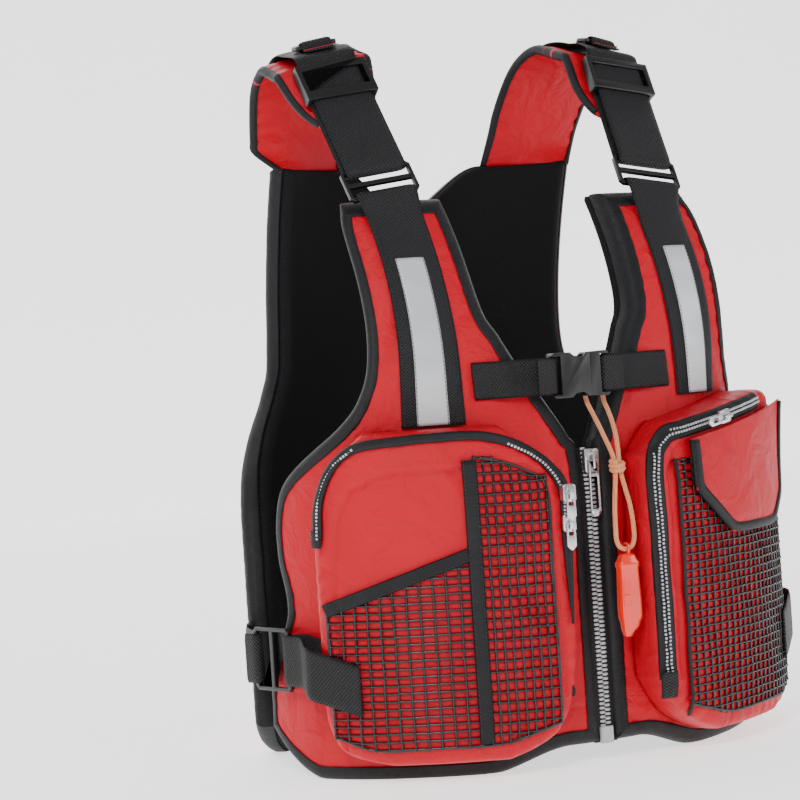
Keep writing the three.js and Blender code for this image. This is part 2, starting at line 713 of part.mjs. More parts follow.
const ribbonTop = zipSeat + zipRibbonHeight + 0.7;
const pocketSlider = {
  halfWidth: 5, halfLength: 6.5, low: ribbonTop, high: ribbonTop + 3.2, length: 20, pullHalf: 3.6,
};
const upperSliderHeight = 206;
const lowerSliderHeight = 184;
const upperLift = 4.2; // the upper slider stands higher, so its pull clears the lower one
addSlider("pocket_slider_upper", "pocket_pull_upper", frameOnForm(-zipLine, upperSliderHeight, faceRight),
  { ...pocketSlider, high: pocketSlider.high + upperLift });
addSlider("pocket_slider_lower", "pocket_pull_lower", frameOnForm(-zipLine, lowerSliderHeight, faceRight),
  pocketSlider);

// ---------------------------------------------------------------- the left pocket

const leftInnerEdge = 26;
const leftInner = through([
  [pocketFoot, leftInnerEdge + 57], [22, leftInnerEdge + 37], [34, leftInnerEdge + 19],
  [58, leftInnerEdge + 3], [76, leftInnerEdge], [218, leftInnerEdge],
  [234, leftInnerEdge + 6], [248, leftInnerEdge + 18], [pocketTop, leftInnerEdge + 30],
]);
add("pocket_left", pocketBody(1, leftInner, pocketSide, leftTop, faceLeft), "redCloth");

const cornerRun = 62; // where the top run of the zip starts
const cornerRise = leftTopAtCorner - 7;
const leftZip = [
  [leftInnerEdge + 5.5, 72], [leftInnerEdge + 5.5, 120], [leftInnerEdge + 5.5, 170],
  [leftInnerEdge + 5.5, 214],
  [leftInnerEdge + 10, 231], [leftInnerEdge + 21, 242], [cornerRun, cornerRise],
  [90, cornerRise + 28 * zipSlope], [120, cornerRise + 58 * zipSlope], [150, cornerRise + 88 * zipSlope],
];
add("pocket_zip_left", pocketZip(leftZip, faceLeft, 28), "zipTape");

const leftSliderPlace = 97;
const runFrame = (s, d) => {
  const origin = torso(s, cornerRise + zipSlope * (s - cornerRun), d);
  const ahead = torso(s + 1, cornerRise + zipSlope * (s + 1 - cornerRun), d);
  const along = ahead.sub(origin).normalize();
  const out = frameOnForm(s, origin.z, d).elements;
  const normal = new THREE.Vector3(out[8], out[9], out[10]);
  return frameOf(origin, new THREE.Vector3().crossVectors(along, normal), along);
};
addSlider("pocket_slider_left", "pocket_pull_left", runFrame(leftSliderPlace, faceLeft),
  { ...pocketSlider, length: 24 });

// The net of the left pocket and the flap over its top.
const leftNetStops = [leftInnerEdge + 24, 66, 84, 102, 120, 138, 156, 174, 190];
add("pocket_net_left", slab(8, 6, (u, v, w) => {
  const s = leftNetStops[Math.round(u * 8)];
  return torso(s, lerp(netFoot(s + 10), 222, v), faceLeft + seatGap + netThickness * w);
}), "net");

const flapStops = [62, 80, 98, 119, 140, 162, 174, 186];
const flapTop = (s) => cornerRise - 8 + zipSlope * (s - cornerRun);
const flapFoot = (s) => 163 + Math.max(0, 98 - s) + Math.max(0, s - 162);
const flapFace = faceLeft + seatGap + netThickness + 0.9;
add("pocket_flap", slab(7, 5, (u, v, w) => {
  const s = flapStops[Math.round(u * 7)];
  return torso(s, lerp(flapFoot(s), flapTop(s), v), flapFace + flapThickness * w);
}), "redCloth");

// ---------------------------------------------------------------- the side straps

const sideStrapHeight = 91;
const lockPlace = 259; // from the middle of the front to the side adjuster
const lockBar = 20; // from its middle to the middle of an outer bar
const tailSlope = 0.4;

function sideAdjuster() {
  const halfHeight = sideWebbingWidth / 2 + 5;
  const slot = halfHeight - 3;
  return plate(
    cutRectangle(lockBar + 2, halfHeight, 3),
    [rectangle(-lockBar + 2, -2, -slot, slot), rectangle(2, lockBar - 2, -slot, slot)],
    -barThickness / 2,
    barThickness / 2,
  );
}

// Stations that fold side webbing round an upright bar at x.
function uprightFold(frame, x, toward, count) {
  return Array.from({ length: count + 1 }, (_, i) => {
    const angle = Math.PI * (i / count);
    return (u, w) => {
      const r = runCentre - w * webbingThickness;
      return inFrame(frame, x + toward * r * Math.sin(angle), u * sideWebbingWidth, -r * Math.cos(angle));
    };
  });
}

sides.forEach(([name, side]) => {
  const frame = frameOnForm(side * lockPlace, sideStrapHeight, T + 9.5);
  const face = side < 0 ? faceRight : faceLeft;
  add(`side_adjuster_${name}`, sideAdjuster(), "plastic", frame);
  const height = (s) => sideStrapHeight - tailSlope * Math.max(0, 228 - s);
  const onPanel = (s, d) => (u, w) =>
    torso(side * s, height(s) + u * sideWebbingWidth, d + webbingThickness * (w + 0.5));
  const under = [[212, T + seatGap], [222, T + seatGap], [230, T + seatGap + 1.6]];
  const climb = [[226, T + 16], [219, T + 24], [212, face + seatGap + netThickness + 1.4]];
  const tail = [202, 190, 178].map((s) => [s, face + seatGap + netThickness + 1.4]);
  const front = [
    ...under.map(([s, d]) => onPanel(s, d)),
    ...uprightFold(frame, -side * lockBar, side, 6),
    ...[...climb, ...tail].map(([s, d]) => (u, w) => onPanel(s, d)(u, -w)),
  ];
  add(`side_strap_front_${name}`, strip(front, 2), "webbing");
  const back = [
    ...[376, 360, 345].map((s) => onPanel(s, T + seatGap)),
    ...[330, 312, 297].map((s, i) => onPanel(s, T + seatGap + 0.9 * (i + 1))),
    (u, w) => inFrame(frame, side * (lockBar + 5), u * sideWebbingWidth, -runCentre + w * webbingThickness),
    ...uprightFold(frame, side * lockBar, -side, 6),
    (u, w) => inFrame(frame, side * (lockBar + 9), u * sideWebbingWidth, runCentre - w * webbingThickness),
  ];
  add(`side_strap_back_${name}`, strip(back, 2), "webbing");
});

// ---------------------------------------------------------------- the chest strap and buckle

const buckleX = -4; // the buckle sits a little to the wearer's right
const buckleRise = 12; // from the face of the panels to the plane of the buckle
const slotBar = 24; // from the middle of the buckle to its strap bars
const buckleOrigin = torso(0, chestStrapHeight, T + buckleRise);
buckleOrigin.x = buckleX;
const buckleFrame = frameOf(buckleOrigin, new THREE.Vector3(1, 0, 0), new THREE.Vector3(0, 0, 1));
const plugThickness = 4;
const armGap = 1.4; // in front of and behind the prongs, so that the plug can swing out
const socketWall = 2;
const socketHalf = plugThickness / 2 + armGap + socketWall;
const mouth = 8; // from the middle to the mouth of the socket

const wall = chestWebbingWidth / 2 + 0.5; // half the length of a webbing slot
const tall = wall + 2.5; // half the height of the buckle

function socket() {
  const shell = [
    [-slotBar - 2, -tall + 3], [-slotBar + 1, -tall], [-9, -tall], [-5, -tall + 3.5], [2, -tall + 3.5],
    [5, -tall + 0.5], [mouth, -tall + 0.5], [mouth, tall - 0.5], [5, tall - 0.5], [2, tall - 3.5],
    [-5, tall - 3.5], [-9, tall], [-slotBar + 1, tall], [-slotBar - 2, tall - 3],
  ];
  const inside = socketHalf - socketWall;
  return plate(shell, [rectangle(-slotBar + 2, -slotBar + 6.6, -wall, wall)], -socketHalf, socketHalf)
    .subtract(block(-14, mouth + 1, -tall + 2.1, tall - 2.1, -inside, inside))
    .subtract(block(-slotBar - 3, -slotBar + 2, -wall, wall, 2, socketHalf + 1))
    .subtract(block(-slotBar - 3, -slotBar + 2, -wall, wall, -socketHalf - 1, -2));
}

function plug() {
  const base = [
    [mouth + 0.5, -tall + 0.5], [slotBar - 1, -tall], [slotBar + 2, -tall + 3],
    [slotBar + 2, tall - 3], [slotBar - 1, tall], [mouth + 0.5, tall - 0.5],
  ];
  return joined(
    plate(base, [rectangle(slotBar - 6.6, slotBar - 2, -wall, wall)], -4.5, 4.5)
      .subtract(block(slotBar - 2, slotBar + 3, -wall, wall, 2, 6))
      .subtract(block(slotBar - 2, slotBar + 3, -wall, wall, -6, -2))
      .subtract(block(mouth, mouth + 4.6, 4.2, 12.6, -2.6, 2.6))
      .subtract(block(mouth, mouth + 4.6, -12.6, -4.2, -2.6, 2.6)),
    block(-10, mouth + 2, -2.6, 2.6, -1.6, 1.6),
  );
}

// A sprung arm of the plug, drawn as the upper one; its root is at (mouth + 3, 8.4).
function latchArm(way) {
  const arm = [
    [mouth + 4, 6.4], [mouth + 4, 10.4], [mouth - 1, 10.4], [4, 12.8], [-3, 14.4], [-8, 12.4],
    [-10, 9.4], [-8.6, 8], [-3, 9.4], [3, 8.4], [mouth - 1, 6.4],
  ];
  const points = arm.map(([x, y]) => [x, way * y]);
  return plate(way > 0 ? points : points.reverse(), [], -plugThickness / 2, plugThickness / 2);
}

add("buckle_socket", socket(), "plastic", buckleFrame);
add("buckle_plug", plug(), "plastic", buckleFrame);
add("buckle_arm_upper", latchArm(1), "plastic", buckleFrame);
add("buckle_arm_lower", latchArm(-1), "plastic", buckleFrame);

sides.forEach(([name, side]) => {
  const overBinding = bindingGap + bindingThickness + 0.6;
  const onPanel = [[chestStrapEnd, seatGap], [76, seatGap], [64, overBinding], [50, overBinding + 1]];
  const flat = onPanel.map(([s, d]) => (u, w) =>
    torso(side * s, chestStrapHeight + u * chestWebbingWidth, T + d + webbingThickness * (w + 0.5)));
  flat.push((u, w) =>
    inFrame(buckleFrame, side * (slotBar + 6), u * chestWebbingWidth, -runCentre + w * webbingThickness));
  const fold = Array.from({ length: 7 }, (_, i) => {
    const angle = Math.PI * (i / 6);
    return (u, w) => {
      const r = runCentre - w * webbingThickness;
      const x = side * (slotBar - r * Math.sin(angle));
      return inFrame(buckleFrame, x, u * chestWebbingWidth, -r * Math.cos(angle));
    };
  });
  const outer = runCentre + 0.4;
  const end = (u, w) =>
    inFrame(buckleFrame, side * (slotBar + 13), u * chestWebbingWidth, outer - w * webbingThickness);
  add(`chest_strap_${name}`, strip([...flat, ...fold, end], 2), "webbing");
});

// ---------------------------------------------------------------- the whistle and its cord

const whistleX = 12.5;
const whistleY = -181;
const whistleTop = 156;
const whistleLength = 62;
const whistleHalf = 9;
const whistleDepth = 12;

function whistle() {
  const low = whistleTop - whistleLength;
  const body = [
    [-whistleHalf, low + 12], [-whistleHalf + 4, low], [whistleHalf - 2, low + 3], [whistleHalf, low + 20],
    [whistleHalf - 1, whistleTop - 8], [whistleHalf - 4, whistleTop], [-whistleHalf + 4, whistleTop],
    [-whistleHalf + 1, whistleTop - 8],
  ];
  const standing = (points, holes, width) => {
    const shape = plate(points, holes, -width / 2, width / 2);
    return solid(bare(geometryOf(shape).rotateX(Math.PI / 2)));
  };
  const round = (r, cut) => Array.from({ length: 10 }, (_, i) => {
    const angle = (i / 10) * 2 * Math.PI * cut;
    return [r * Math.cos(angle), r * Math.sin(angle)];
  });
  const lug = plate(round(5, 1), [round(2.7, -1)], -2, 2);
  const upright = solid(bare(geometryOf(lug).rotateY(Math.PI / 2).translate(0, 0, whistleTop + 3.6)));
  const air = whistleDepth / 2 - 2.5; // half the width of the air window
  return joined(standing(body, [], whistleDepth), upright)
    .subtract(block(-whistleHalf - 1, -1, -air, air, low + 34, low + 42));
}

add("whistle", whistle(), "whistle", new THREE.Matrix4().makeTranslation(whistleX, whistleY, 0));

// The route of the cord: from the knot up behind the buckle, down through the knot, round
// the whistle's ring and back to the knot.
const cordRoute = [
  [10.3, -176.2, 221.5], [10.3, -175.4, 227], [9.4, -173.4, 233], [7.6, -168.8, 243], [6.2, -162.4, 254],
  [5.4, -156.0, 263], [5.1, -151.2, 269.5], [5.0, -149.2, 276], [7.2, -148.8, 282.6], [12.5, -148.8, 285.2],
  [17.8, -148.8, 282.6], [20.0, -149.2, 276], [19.9, -151.2, 269.5], [19.6, -156.2, 263], [18.8, -162.8, 254],
  [17.4, -169.2, 243], [15.6, -173.6, 233], [14.7, -175.6, 226], [14.7, -176.4, 218], [16.6, -178.0, 206],
  [19.4, -180.0, 190], [20.4, -181.0, 174], [20.1, -181.0, 166], [17.6, -181.0, 161.2], [12.5, -181.0, 159.3],
  [7.4, -181.0, 161.2], [4.9, -181.0, 166], [4.6, -181.0, 174], [5.6, -180.0, 190], [8.4, -178.0, 206],
  [10.0, -176.8, 214], [10.3, -176.4, 220],
].map(([x, y, z]) => new THREE.Vector3(x, y, z));

function cord() {
  const section = Array.from({ length: 8 }, (_, i) => {
    const angle = (i / 8) * 2 * Math.PI;
    return [(cordDiameter / 2) * Math.cos(angle), (cordDiameter / 2) * Math.sin(angle)];
  });
  const path = new THREE.CatmullRomCurve3(cordRoute);
  const options = { steps: 72, extrudePath: path, bevelEnabled: false };
  return outward(bare(new THREE.ExtrudeGeometry(outline(section), options)));
}

add("whistle_cord", cord(), "cord");

// The knot: a sleeve round both strands of the cord.
const knotProfile = [[4.6, -5], [6.2, -4], [7, 0], [6.2, 4], [4.6, 5], [4.6, -5]];
const knot = new THREE.LatheGeometry(knotProfile.map(([x, y]) => new THREE.Vector2(x, y)), 12);
add("whistle_knot", outward(bare(knot.rotateX(Math.PI / 2).translate(12.5, -176.1, 221))), "cord");

// The origin goes under the middle of the whole vest.
const bounds = new THREE.Box3().setFromObject(vest, true);
const middle = (bounds.min.y + bounds.max.y) / 2;
vest.children.forEach((mesh) => {
  mesh.position.y -= middle;
});

export default vest;
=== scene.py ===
# %% [markdown]
# # A life jacket, built round its CAD frame
# The frame holds the places and the joints; this notebook makes the looks. The camera and
# the whistle cord come first, then the cloth, the webbing, the zips, the nets, the moulded
# fittings and their finishes.

# %% Load the frame
import math
import bmesh
import bpy
import numpy as np
from mathutils import Matrix, Vector, noise


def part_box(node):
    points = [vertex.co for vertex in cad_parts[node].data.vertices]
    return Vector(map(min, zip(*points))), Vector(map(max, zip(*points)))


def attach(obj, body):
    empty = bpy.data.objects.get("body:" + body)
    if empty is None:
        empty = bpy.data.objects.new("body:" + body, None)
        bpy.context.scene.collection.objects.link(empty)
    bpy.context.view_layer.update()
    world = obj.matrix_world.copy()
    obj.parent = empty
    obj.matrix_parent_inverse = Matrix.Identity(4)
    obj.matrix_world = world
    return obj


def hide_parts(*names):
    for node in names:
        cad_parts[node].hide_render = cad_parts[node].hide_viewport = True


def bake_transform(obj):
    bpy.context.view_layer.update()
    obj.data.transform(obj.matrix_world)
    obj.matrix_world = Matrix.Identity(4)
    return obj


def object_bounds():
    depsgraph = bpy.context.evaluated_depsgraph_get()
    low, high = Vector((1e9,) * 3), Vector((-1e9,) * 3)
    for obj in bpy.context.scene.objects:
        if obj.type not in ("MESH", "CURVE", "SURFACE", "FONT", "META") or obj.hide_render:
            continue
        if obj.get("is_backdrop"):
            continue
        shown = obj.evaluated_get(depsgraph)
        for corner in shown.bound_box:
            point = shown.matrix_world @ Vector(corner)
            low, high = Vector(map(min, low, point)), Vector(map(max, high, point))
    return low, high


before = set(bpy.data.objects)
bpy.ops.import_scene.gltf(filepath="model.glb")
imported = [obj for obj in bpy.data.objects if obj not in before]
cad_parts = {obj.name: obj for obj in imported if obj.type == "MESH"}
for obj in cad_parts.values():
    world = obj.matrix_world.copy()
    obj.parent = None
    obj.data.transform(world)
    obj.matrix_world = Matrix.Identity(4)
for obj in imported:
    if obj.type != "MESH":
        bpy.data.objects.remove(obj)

cad_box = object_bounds()
print("CAD box", [round(v, 3) for corner in cad_box for v in corner])

# %% [markdown]
# Every size below is in millimetres, as on a pattern sheet, and becomes metres only when a
# mesh is made. The frame puts its origin under the middle of the vest, so the pattern is
# moved back by one shift, which the back shell's rear face gives.

# %% Units and shift
MM = 0.001
BACK_FACE = 160
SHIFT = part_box("back_shell_right")[1].y / MM - BACK_FACE
print("shift back", round(SHIFT, 2), "mm")

# %% [markdown]
# The camera stands to the wearer's right at chest height, turned a little about its own
# axis. Its three directions are worked out from the angles, so the tilt stays readable.

# %% Camera
CAMERA_TURN, CAMERA_RISE, CAMERA_ROLL = (math.radians(v) for v in (-26.51, 1.06, -3.86))
CAMERA_PLACE = Vector((-936.8, -1725.1 + SHIFT, 314.5)) * MM
CAMERA_LENS = 109.4


def make_camera():
    a, e, r = CAMERA_TURN, CAMERA_RISE, CAMERA_ROLL
    back = Vector((math.sin(a) * math.cos(e), -math.cos(a) * math.cos(e), math.sin(e)))
    right = Vector((math.cos(a), math.sin(a), 0))
    up = back.cross(right)
    across = right * math.cos(r) + up * math.sin(r)
    over = up * math.cos(r) - right * math.sin(r)
    data = bpy.data.cameras.new("camera")
    data.lens = CAMERA_LENS
    data.sensor_width = 36
    camera = bpy.data.objects.new("camera", data)
    camera.matrix_world = Matrix.Translation(CAMERA_PLACE) @ Matrix((across, over,
        back)).transposed().to_4x4()
    bpy.context.scene.collection.objects.link(camera)
    bpy.context.scene.camera = camera


make_camera()
print("camera", [round(v, 3) for v in CAMERA_PLACE])

# %% [markdown]
# Meshes are made from arrays of points. One helper turns points, faces and a pattern
# coordinate into an object; a second keeps the result of a modifier as a plain mesh.

# %% Mesh helpers
def make_mesh(name, points, faces, uv=None, finish=None, smooth=True):
    """points in millimetres, faces as index lists, uv as one pair a point, in millimetres."""
    mesh = bpy.data.meshes.new(name)
    mesh.from_pydata((np.asarray(points, float).reshape(-1, 3) * MM).tolist(), [],
                     [list(map(int, f)) for f in faces])
    if uv is not None:
        layer = mesh.uv_layers.new(name="pattern")
        corners = np.empty(len(mesh.loops), int)
        mesh.loops.foreach_get("vertex_index", corners)
        layer.data.foreach_set("uv", (np.asarray(uv, float).reshape(-1,
            2)[corners] * MM).astype(np.float32).ravel())
    mesh.polygons.foreach_set("use_smooth", [smooth] * len(mesh.polygons))
    piece = bpy.data.objects.new(name, mesh)
    bpy.context.scene.collection.objects.link(piece)
    if finish:
        mesh.materials.append(finish)
    return piece


def face_out(piece):
    """Turns every face of a closed piece outwards."""
    shape = bmesh.new()
    shape.from_mesh(piece.data)
    bmesh.ops.recalc_face_normals(shape, faces=shape.faces)
    shape.to_mesh(piece.data)
    shape.free()
    return piece


def keep_result(piece):
    """Replaces the mesh by what its modifiers make of it."""
    dg = bpy.context.evaluated_depsgraph_get()
    result = bpy.data.meshes.new_from_object(piece.evaluated_get(dg), depsgraph=dg)
    piece.modifiers.clear()
    old = piece.data
    result.name = piece.name
    piece.data = result
    bpy.data.meshes.remove(old)
    return piece


def thicken(piece, thickness, offset=-1, even=True):
    modifier = piece.modifiers.new("cloth", "SOLIDIFY")
    modifier.thickness = thickness * MM
    modifier.offset = offset
    modifier.use_even_offset = even
    return face_out(keep_result(piece))


def grid_faces(rows, columns, start=0):
    """Quads of a grid of points stored row by row."""
    i = np.arange(rows - 1)[:, None] * columns + np.arange(columns - 1)[None, :] + start
    return np.stack([i, i + 1, i + columns + 1, i + columns], -1).reshape(-1, 4).tolist()

# %% [markdown]
# Shader sums are written as plain Python: a Wire is one output of a node, and adding or
# multiplying Wires adds the Math nodes. Every other node comes from one method.

# %% Shader helpers
class Wire:
    def __init__(self, finish, socket):
        self.finish, self.socket = finish, socket

    def maths(self, operation, a, b=0.0):
        return self.finish.node("ShaderNodeMath", {"operation": operation}, {0: a, 1: b})

    def __add__(self, other):
        return self.maths("ADD", self, other)

    def __sub__(self, other):
        return self.maths("SUBTRACT", self, other)

    def __rsub__(self, other):
        return self.maths("SUBTRACT", other, self)

    def __mul__(self, other):
        return self.maths("MULTIPLY", self, other)

    __radd__ = __add__
    __rmul__ = __mul__

    def wave(self):
        return self.maths("SINE", self)

    def power(self, exponent):
        return self.maths("POWER", self, exponent)


class Finish:
    """A material with one Principled surface, and the nodes that feed it."""

    def __init__(self, name, **surface):
        self.material = bpy.data.materials.new(name)
        self.material.use_nodes = True
        self.tree = self.material.node_tree
        self.shader = self.tree.nodes["Principled BSDF"]
        for key, value in surface.items():
            self.shader.inputs[key.replace("_", " ")].default_value = value

    def node(self, kind, settings=None, values=None, output=0):
        made = self.tree.nodes.new(kind)
        for key, value in (settings or {}).items():
            setattr(made, key, value)
        for key, value in (values or {}).items():
            if isinstance(value, Wire):
                self.tree.links.new(value.socket, made.inputs[key])
            else:
                made.inputs[key].default_value = value
        return Wire(self, made.outputs[output])

    def pattern(self):
        """The two pattern coordinates of the piece, in metres."""
        uv = self.node("ShaderNodeUVMap", {"uv_map": "pattern"})
        return [self.node("ShaderNodeSeparateXYZ", None, {0: uv}, axis) for axis in (0, 1)]

    def place(self):
        return self.node("ShaderNodeTexCoord", output="Object")

    def speckle(self, scale, detail=3.0, roughness=0.55):
        return self.node("ShaderNodeTexNoise", None,
                         {"Vector": self.place(), "Scale": scale, "Detail": detail,
                          "Roughness": roughness})

    def between(self, low, high, share):
        """A colour between two, by a share from 0 to 1."""
        return self.node("ShaderNodeMix", {"data_type": "RGBA"}, {0: share, 6: low, 7: high}, 2)

    def spread(self, value, low, high):
        """Maps 0..1 onto low..high."""
        return value * (high - low) + low

    def feed(self, key, wire):
        self.tree.links.new(wire.socket, self.shader.inputs[key])

    def relief(self, height, depth, strength=1.0, over=None):
        values = {"Height": height, "Distance": depth, "Strength": strength}
        if over:
            values["Normal"] = over
        bump = self.node("ShaderNodeBump", None, values)
        self.feed("Normal", bump)
        return bump


def srgb(r, g, b):
    """A colour given as the eye names it, 0 to 255, as the linear one that light uses."""
    linear = [(v / 255 / 12.92) if v < 10.3 else ((v / 255 + 0.055) / 1.055) ** 2.4 for v in (r, g, b)]
    return (*linear, 1.0)

# %% [markdown]
# ## Finishes
# The vest's own cloth is a smooth red nylon: a fine plain weave, soft creases and a satin
# sheen. The weave is two sine waves multiplied, which gives the small over and under bumps;
# the creases are stretched noise in the bump, under the folds that the mesh already has.

# %% Red nylon
TURN = 2 * math.pi / MM


def woven(finish, across, along):
    """Over and under bumps of a plain weave, from -1 to 1, for thread pitches in millimetres."""
    u, v = finish.pattern()
    return (u * (TURN / across)).wave() * (v * (TURN / along)).wave()


def make_red_nylon():
    cloth = Finish("red_nylon", Roughness=0.42, Specular_IOR_Level=0.22)
    cloud = cloth.speckle(9)
    cloth.feed("Base Color", cloth.between(srgb(170, 0, 22), srgb(194, 1, 32), cloud))
    cloth.feed("Roughness", cloth.spread(cloth.speckle(60), 0.38, 0.52))
    creases = cloth.node("ShaderNodeTexNoise", None,
                         {"Vector": cloth.place(), "Scale": 34.0, "Detail": 4.0, "Distortion": 1.6})
    soft = cloth.relief(creases, 0.0035, 0.8)
    cloth.relief(woven(cloth, 0.9, 0.9), 0.00007, 0.6, over=soft)
    return cloth.material


RED = make_red_nylon()
print("made", RED.name)

# %% [markdown]
# Webbing is woven from thick polyester yarns. Its face shows staggered bright dots in rows,
# so the weave is coarse and deep and the tops of the yarns are smoother than the valleys.
# The dots are also painted into the colour: a painted highlight on the yarn tops and painted
# shade in the valleys.

# %% Webbing
def make_webbing(name, low, high, across, along, depth):
    web = Finish(name, Roughness=0.55, Specular_IOR_Level=0.3)
    weave = woven(web, across, along)
    yarn_height_and_painted_light = weave * 0.5 + 0.5
    # Painted light: the base colour runs from painted shade in the valleys (low) to a painted highlight on
    # the yarn tops (high).
    web.feed("Base Color", web.between(low, high, yarn_height_and_painted_light.power(2)))
    web.feed("Roughness", web.spread(1 - yarn_height_and_painted_light, 0.34, 0.75))
    web.relief(weave + web.speckle(900) * 0.3, depth * MM, 0.9)
    return web.material


# The dark colour is the painted shade in the valleys, the light one the painted highlight on the yarn tops.
WEBBING = make_webbing("webbing", srgb(4, 4, 5), srgb(42, 42, 46), 3.0, 2.4, 0.4)
print("made", WEBBING.name)

# %% [markdown]
# Binding is grosgrain tape: thin ribs run across it and it has a dull silk shine. Zip tape is
# the same kind of cloth, so both come from one function.

# %% Binding and zip tape
def make_grosgrain(name, low, high, rib):
    tape = Finish(name, Roughness=0.5, Specular_IOR_Level=0.25)
    _, along = tape.pattern()
    ribs = (along * (TURN / rib)).wave()
    tape.feed("Base Color", tape.between(low, high, tape.speckle(140)))
    tape.feed("Roughness", tape.spread(tape.speckle(300), 0.42, 0.62))
    tape.relief(ribs + tape.speckle(500) * 0.8, 0.00012, 0.7)
    return tape.material


BINDING = make_grosgrain("binding", srgb(9, 9, 11), srgb(24, 25, 28), 1.1)
ZIP_TAPE = make_grosgrain("zip_tape", srgb(10, 10, 12), srgb(28, 29, 32), 0.9)
print("made", BINDING.name, ZIP_TAPE.name)

# %% [markdown]
# Reflective tape is cloth with a skin of glass beads: a pale satin grey that is partly
# metallic, with long shallow creases where the vest bends. The crease noise also sets its
# colour: painted shade in the hollows of the creases and painted light on their ridges.

# %% Reflective tape
def make_reflective():
    tape = Finish("reflective_tape", Roughness=0.42, Metallic=0.25)
    slant = tape.node("ShaderNodeMapping", {"vector_type": "POINT"},
                      {"Vector": tape.place(), "Rotation": (0.0, 0.6, 0.3), "Scale": (22.0, 8.0, 60.0)})
    creases = tape.node("ShaderNodeTexNoise", None, {"Vector": slant, "Scale": 1.0, "Detail": 2.0})
    # Painted light: the colour follows the crease relief, darker in the hollows and lighter on the ridges.
    tape.feed("Base Color", tape.between(srgb(172, 174, 178), srgb(205, 207, 210), creases))
    tape.feed("Roughness", tape.spread(tape.speckle(1500), 0.36, 0.5))
    tape.relief(creases, 0.0009, 0.8)
    return tape.material


REFLECTIVE = make_reflective()
print("made", REFLECTIVE.name)

# %% [markdown]
# The fittings are moulded acetal: near black, with the fine grain that a spark-eroded mould
# leaves. The sliders and the pulls are die-cast and plated, with brushed wear. The net yarn
# is braided and glossy, the lining is a matt open weave, and the foam is closed-cell.

# %% Fittings, metal, yarn, lining and foam
def make_moulded(name, low, high, grain, rough):
    part = Finish(name, Roughness=rough[0])
    part.feed("Base Color", part.between(low, high, part.speckle(40)))
    part.feed("Roughness", part.spread(part.speckle(260), *rough))
    part.relief(part.speckle(grain), 0.00006, 0.6)
    return part.material


def make_metal():
    metal = Finish("zip_metal", Metallic=0.95, Roughness=0.28)
    metal.feed("Base Color", metal.between(srgb(176, 178, 182), srgb(226, 227, 230), metal.speckle(90)))
    metal.feed("Roughness", metal.spread(metal.speckle(400), 0.18, 0.4))
    metal.relief(metal.speckle(700), 0.00004, 0.5)
    return metal.material


def make_lining():
    cloth = Finish("lining", Roughness=0.8, Specular_IOR_Level=0.15)
    weave = woven(cloth, 1.6, 1.6)
    # Painted shade: the base colour follows the weave, darker in the gaps between the threads and lighter on
    # their tops.
    cloth.feed("Base Color", cloth.between(srgb(8, 8, 9), srgb(22, 22, 25), weave * 0.5 + 0.5))
    cloth.relief(weave + cloth.speckle(200), 0.0002, 0.8)
    return cloth.material


PLASTIC = make_moulded("black_plastic", srgb(7, 7, 8), srgb(16, 16, 18), 1400, (0.26, 0.42))
TEETH = make_moulded("zip_teeth", srgb(150, 152, 156), srgb(200, 202, 206), 900, (0.25, 0.4))
YARN = make_moulded("net_yarn", srgb(4, 4, 5), srgb(16, 16, 18), 1800, (0.14, 0.28))
FOAM = make_moulded("foam", srgb(222, 220, 212), srgb(238, 236, 230), 500, (0.8, 0.95))
BLACK_THREAD = make_moulded("black_thread", srgb(20, 20, 22), srgb(44, 44, 48), 2500, (0.4, 0.6))
RED_THREAD = make_moulded("red_thread", srgb(170, 10, 26), srgb(214, 24, 44), 2500, (0.4, 0.6))
METAL = make_metal()
LINING = make_lining()
print("made", len(bpy.data.materials), "finishes so far")

# %% [markdown]
# The whistle is injection-moulded in a clear orange plastic. Light passes a little way into
# it, so some subsurface scatter and a clear coat do more than a bright colour would. The cord
# is a braid: slanted strands that cross, drawn with two slanted waves on the cord's own
# coordinates. The same waves set its colour: a painted highlight on the strand tops and
# painted shade in the hollows between them.

# %% Whistle plastic and braid
def make_whistle_plastic():
    part = Finish("whistle_plastic", Roughness=0.18, Subsurface_Weight=0.15, Subsurface_Scale=0.004,
                  Coat_Weight=0.5, Coat_Roughness=0.08)
    part.shader.inputs["Subsurface Radius"].default_value = (1.0, 0.25, 0.08)
    part.feed("Base Color", part.between(srgb(226, 26, 0), srgb(240, 48, 6), part.speckle(60)))
    part.feed("Roughness", part.spread(part.speckle(300), 0.12, 0.26))
    part.relief(part.speckle(160), 0.0001, 0.3)
    return part.material


def make_braid():
    cord = Finish("cord", Roughness=0.7, Sheen_Weight=0.3)
    u, v = cord.pattern()
    strand_height_and_painted_light = (u * (TURN / 2.8) + v * (TURN / 2.6)).wave() * (u * (TURN / 2.8) - v * (TURN / 2.6)).wave()
    # Painted light: the strand tops are painted lighter and the hollows between the strands darker.
    cord.feed("Base Color", cord.between(srgb(206, 104, 48), srgb(250, 172, 112), strand_height_and_painted_light * 0.5 + 0.5))
    cord.relief(strand_height_and_painted_light + cord.speckle(800) * 0.4, 0.0004, 0.9)
    return cord.material


WHISTLE = make_whistle_plastic()
CORD = make_braid()
print("made", WHISTLE.name, CORD.name)

# %% [markdown]
# ## The whistle cord
# A short limp lanyard: from the knot it goes up behind the buckle plug, turns over it, comes
# down through the knot, goes round the whistle's ring and returns to the knot. The route is
# the one the frame has, and a smooth curve through it is swept with a round section.

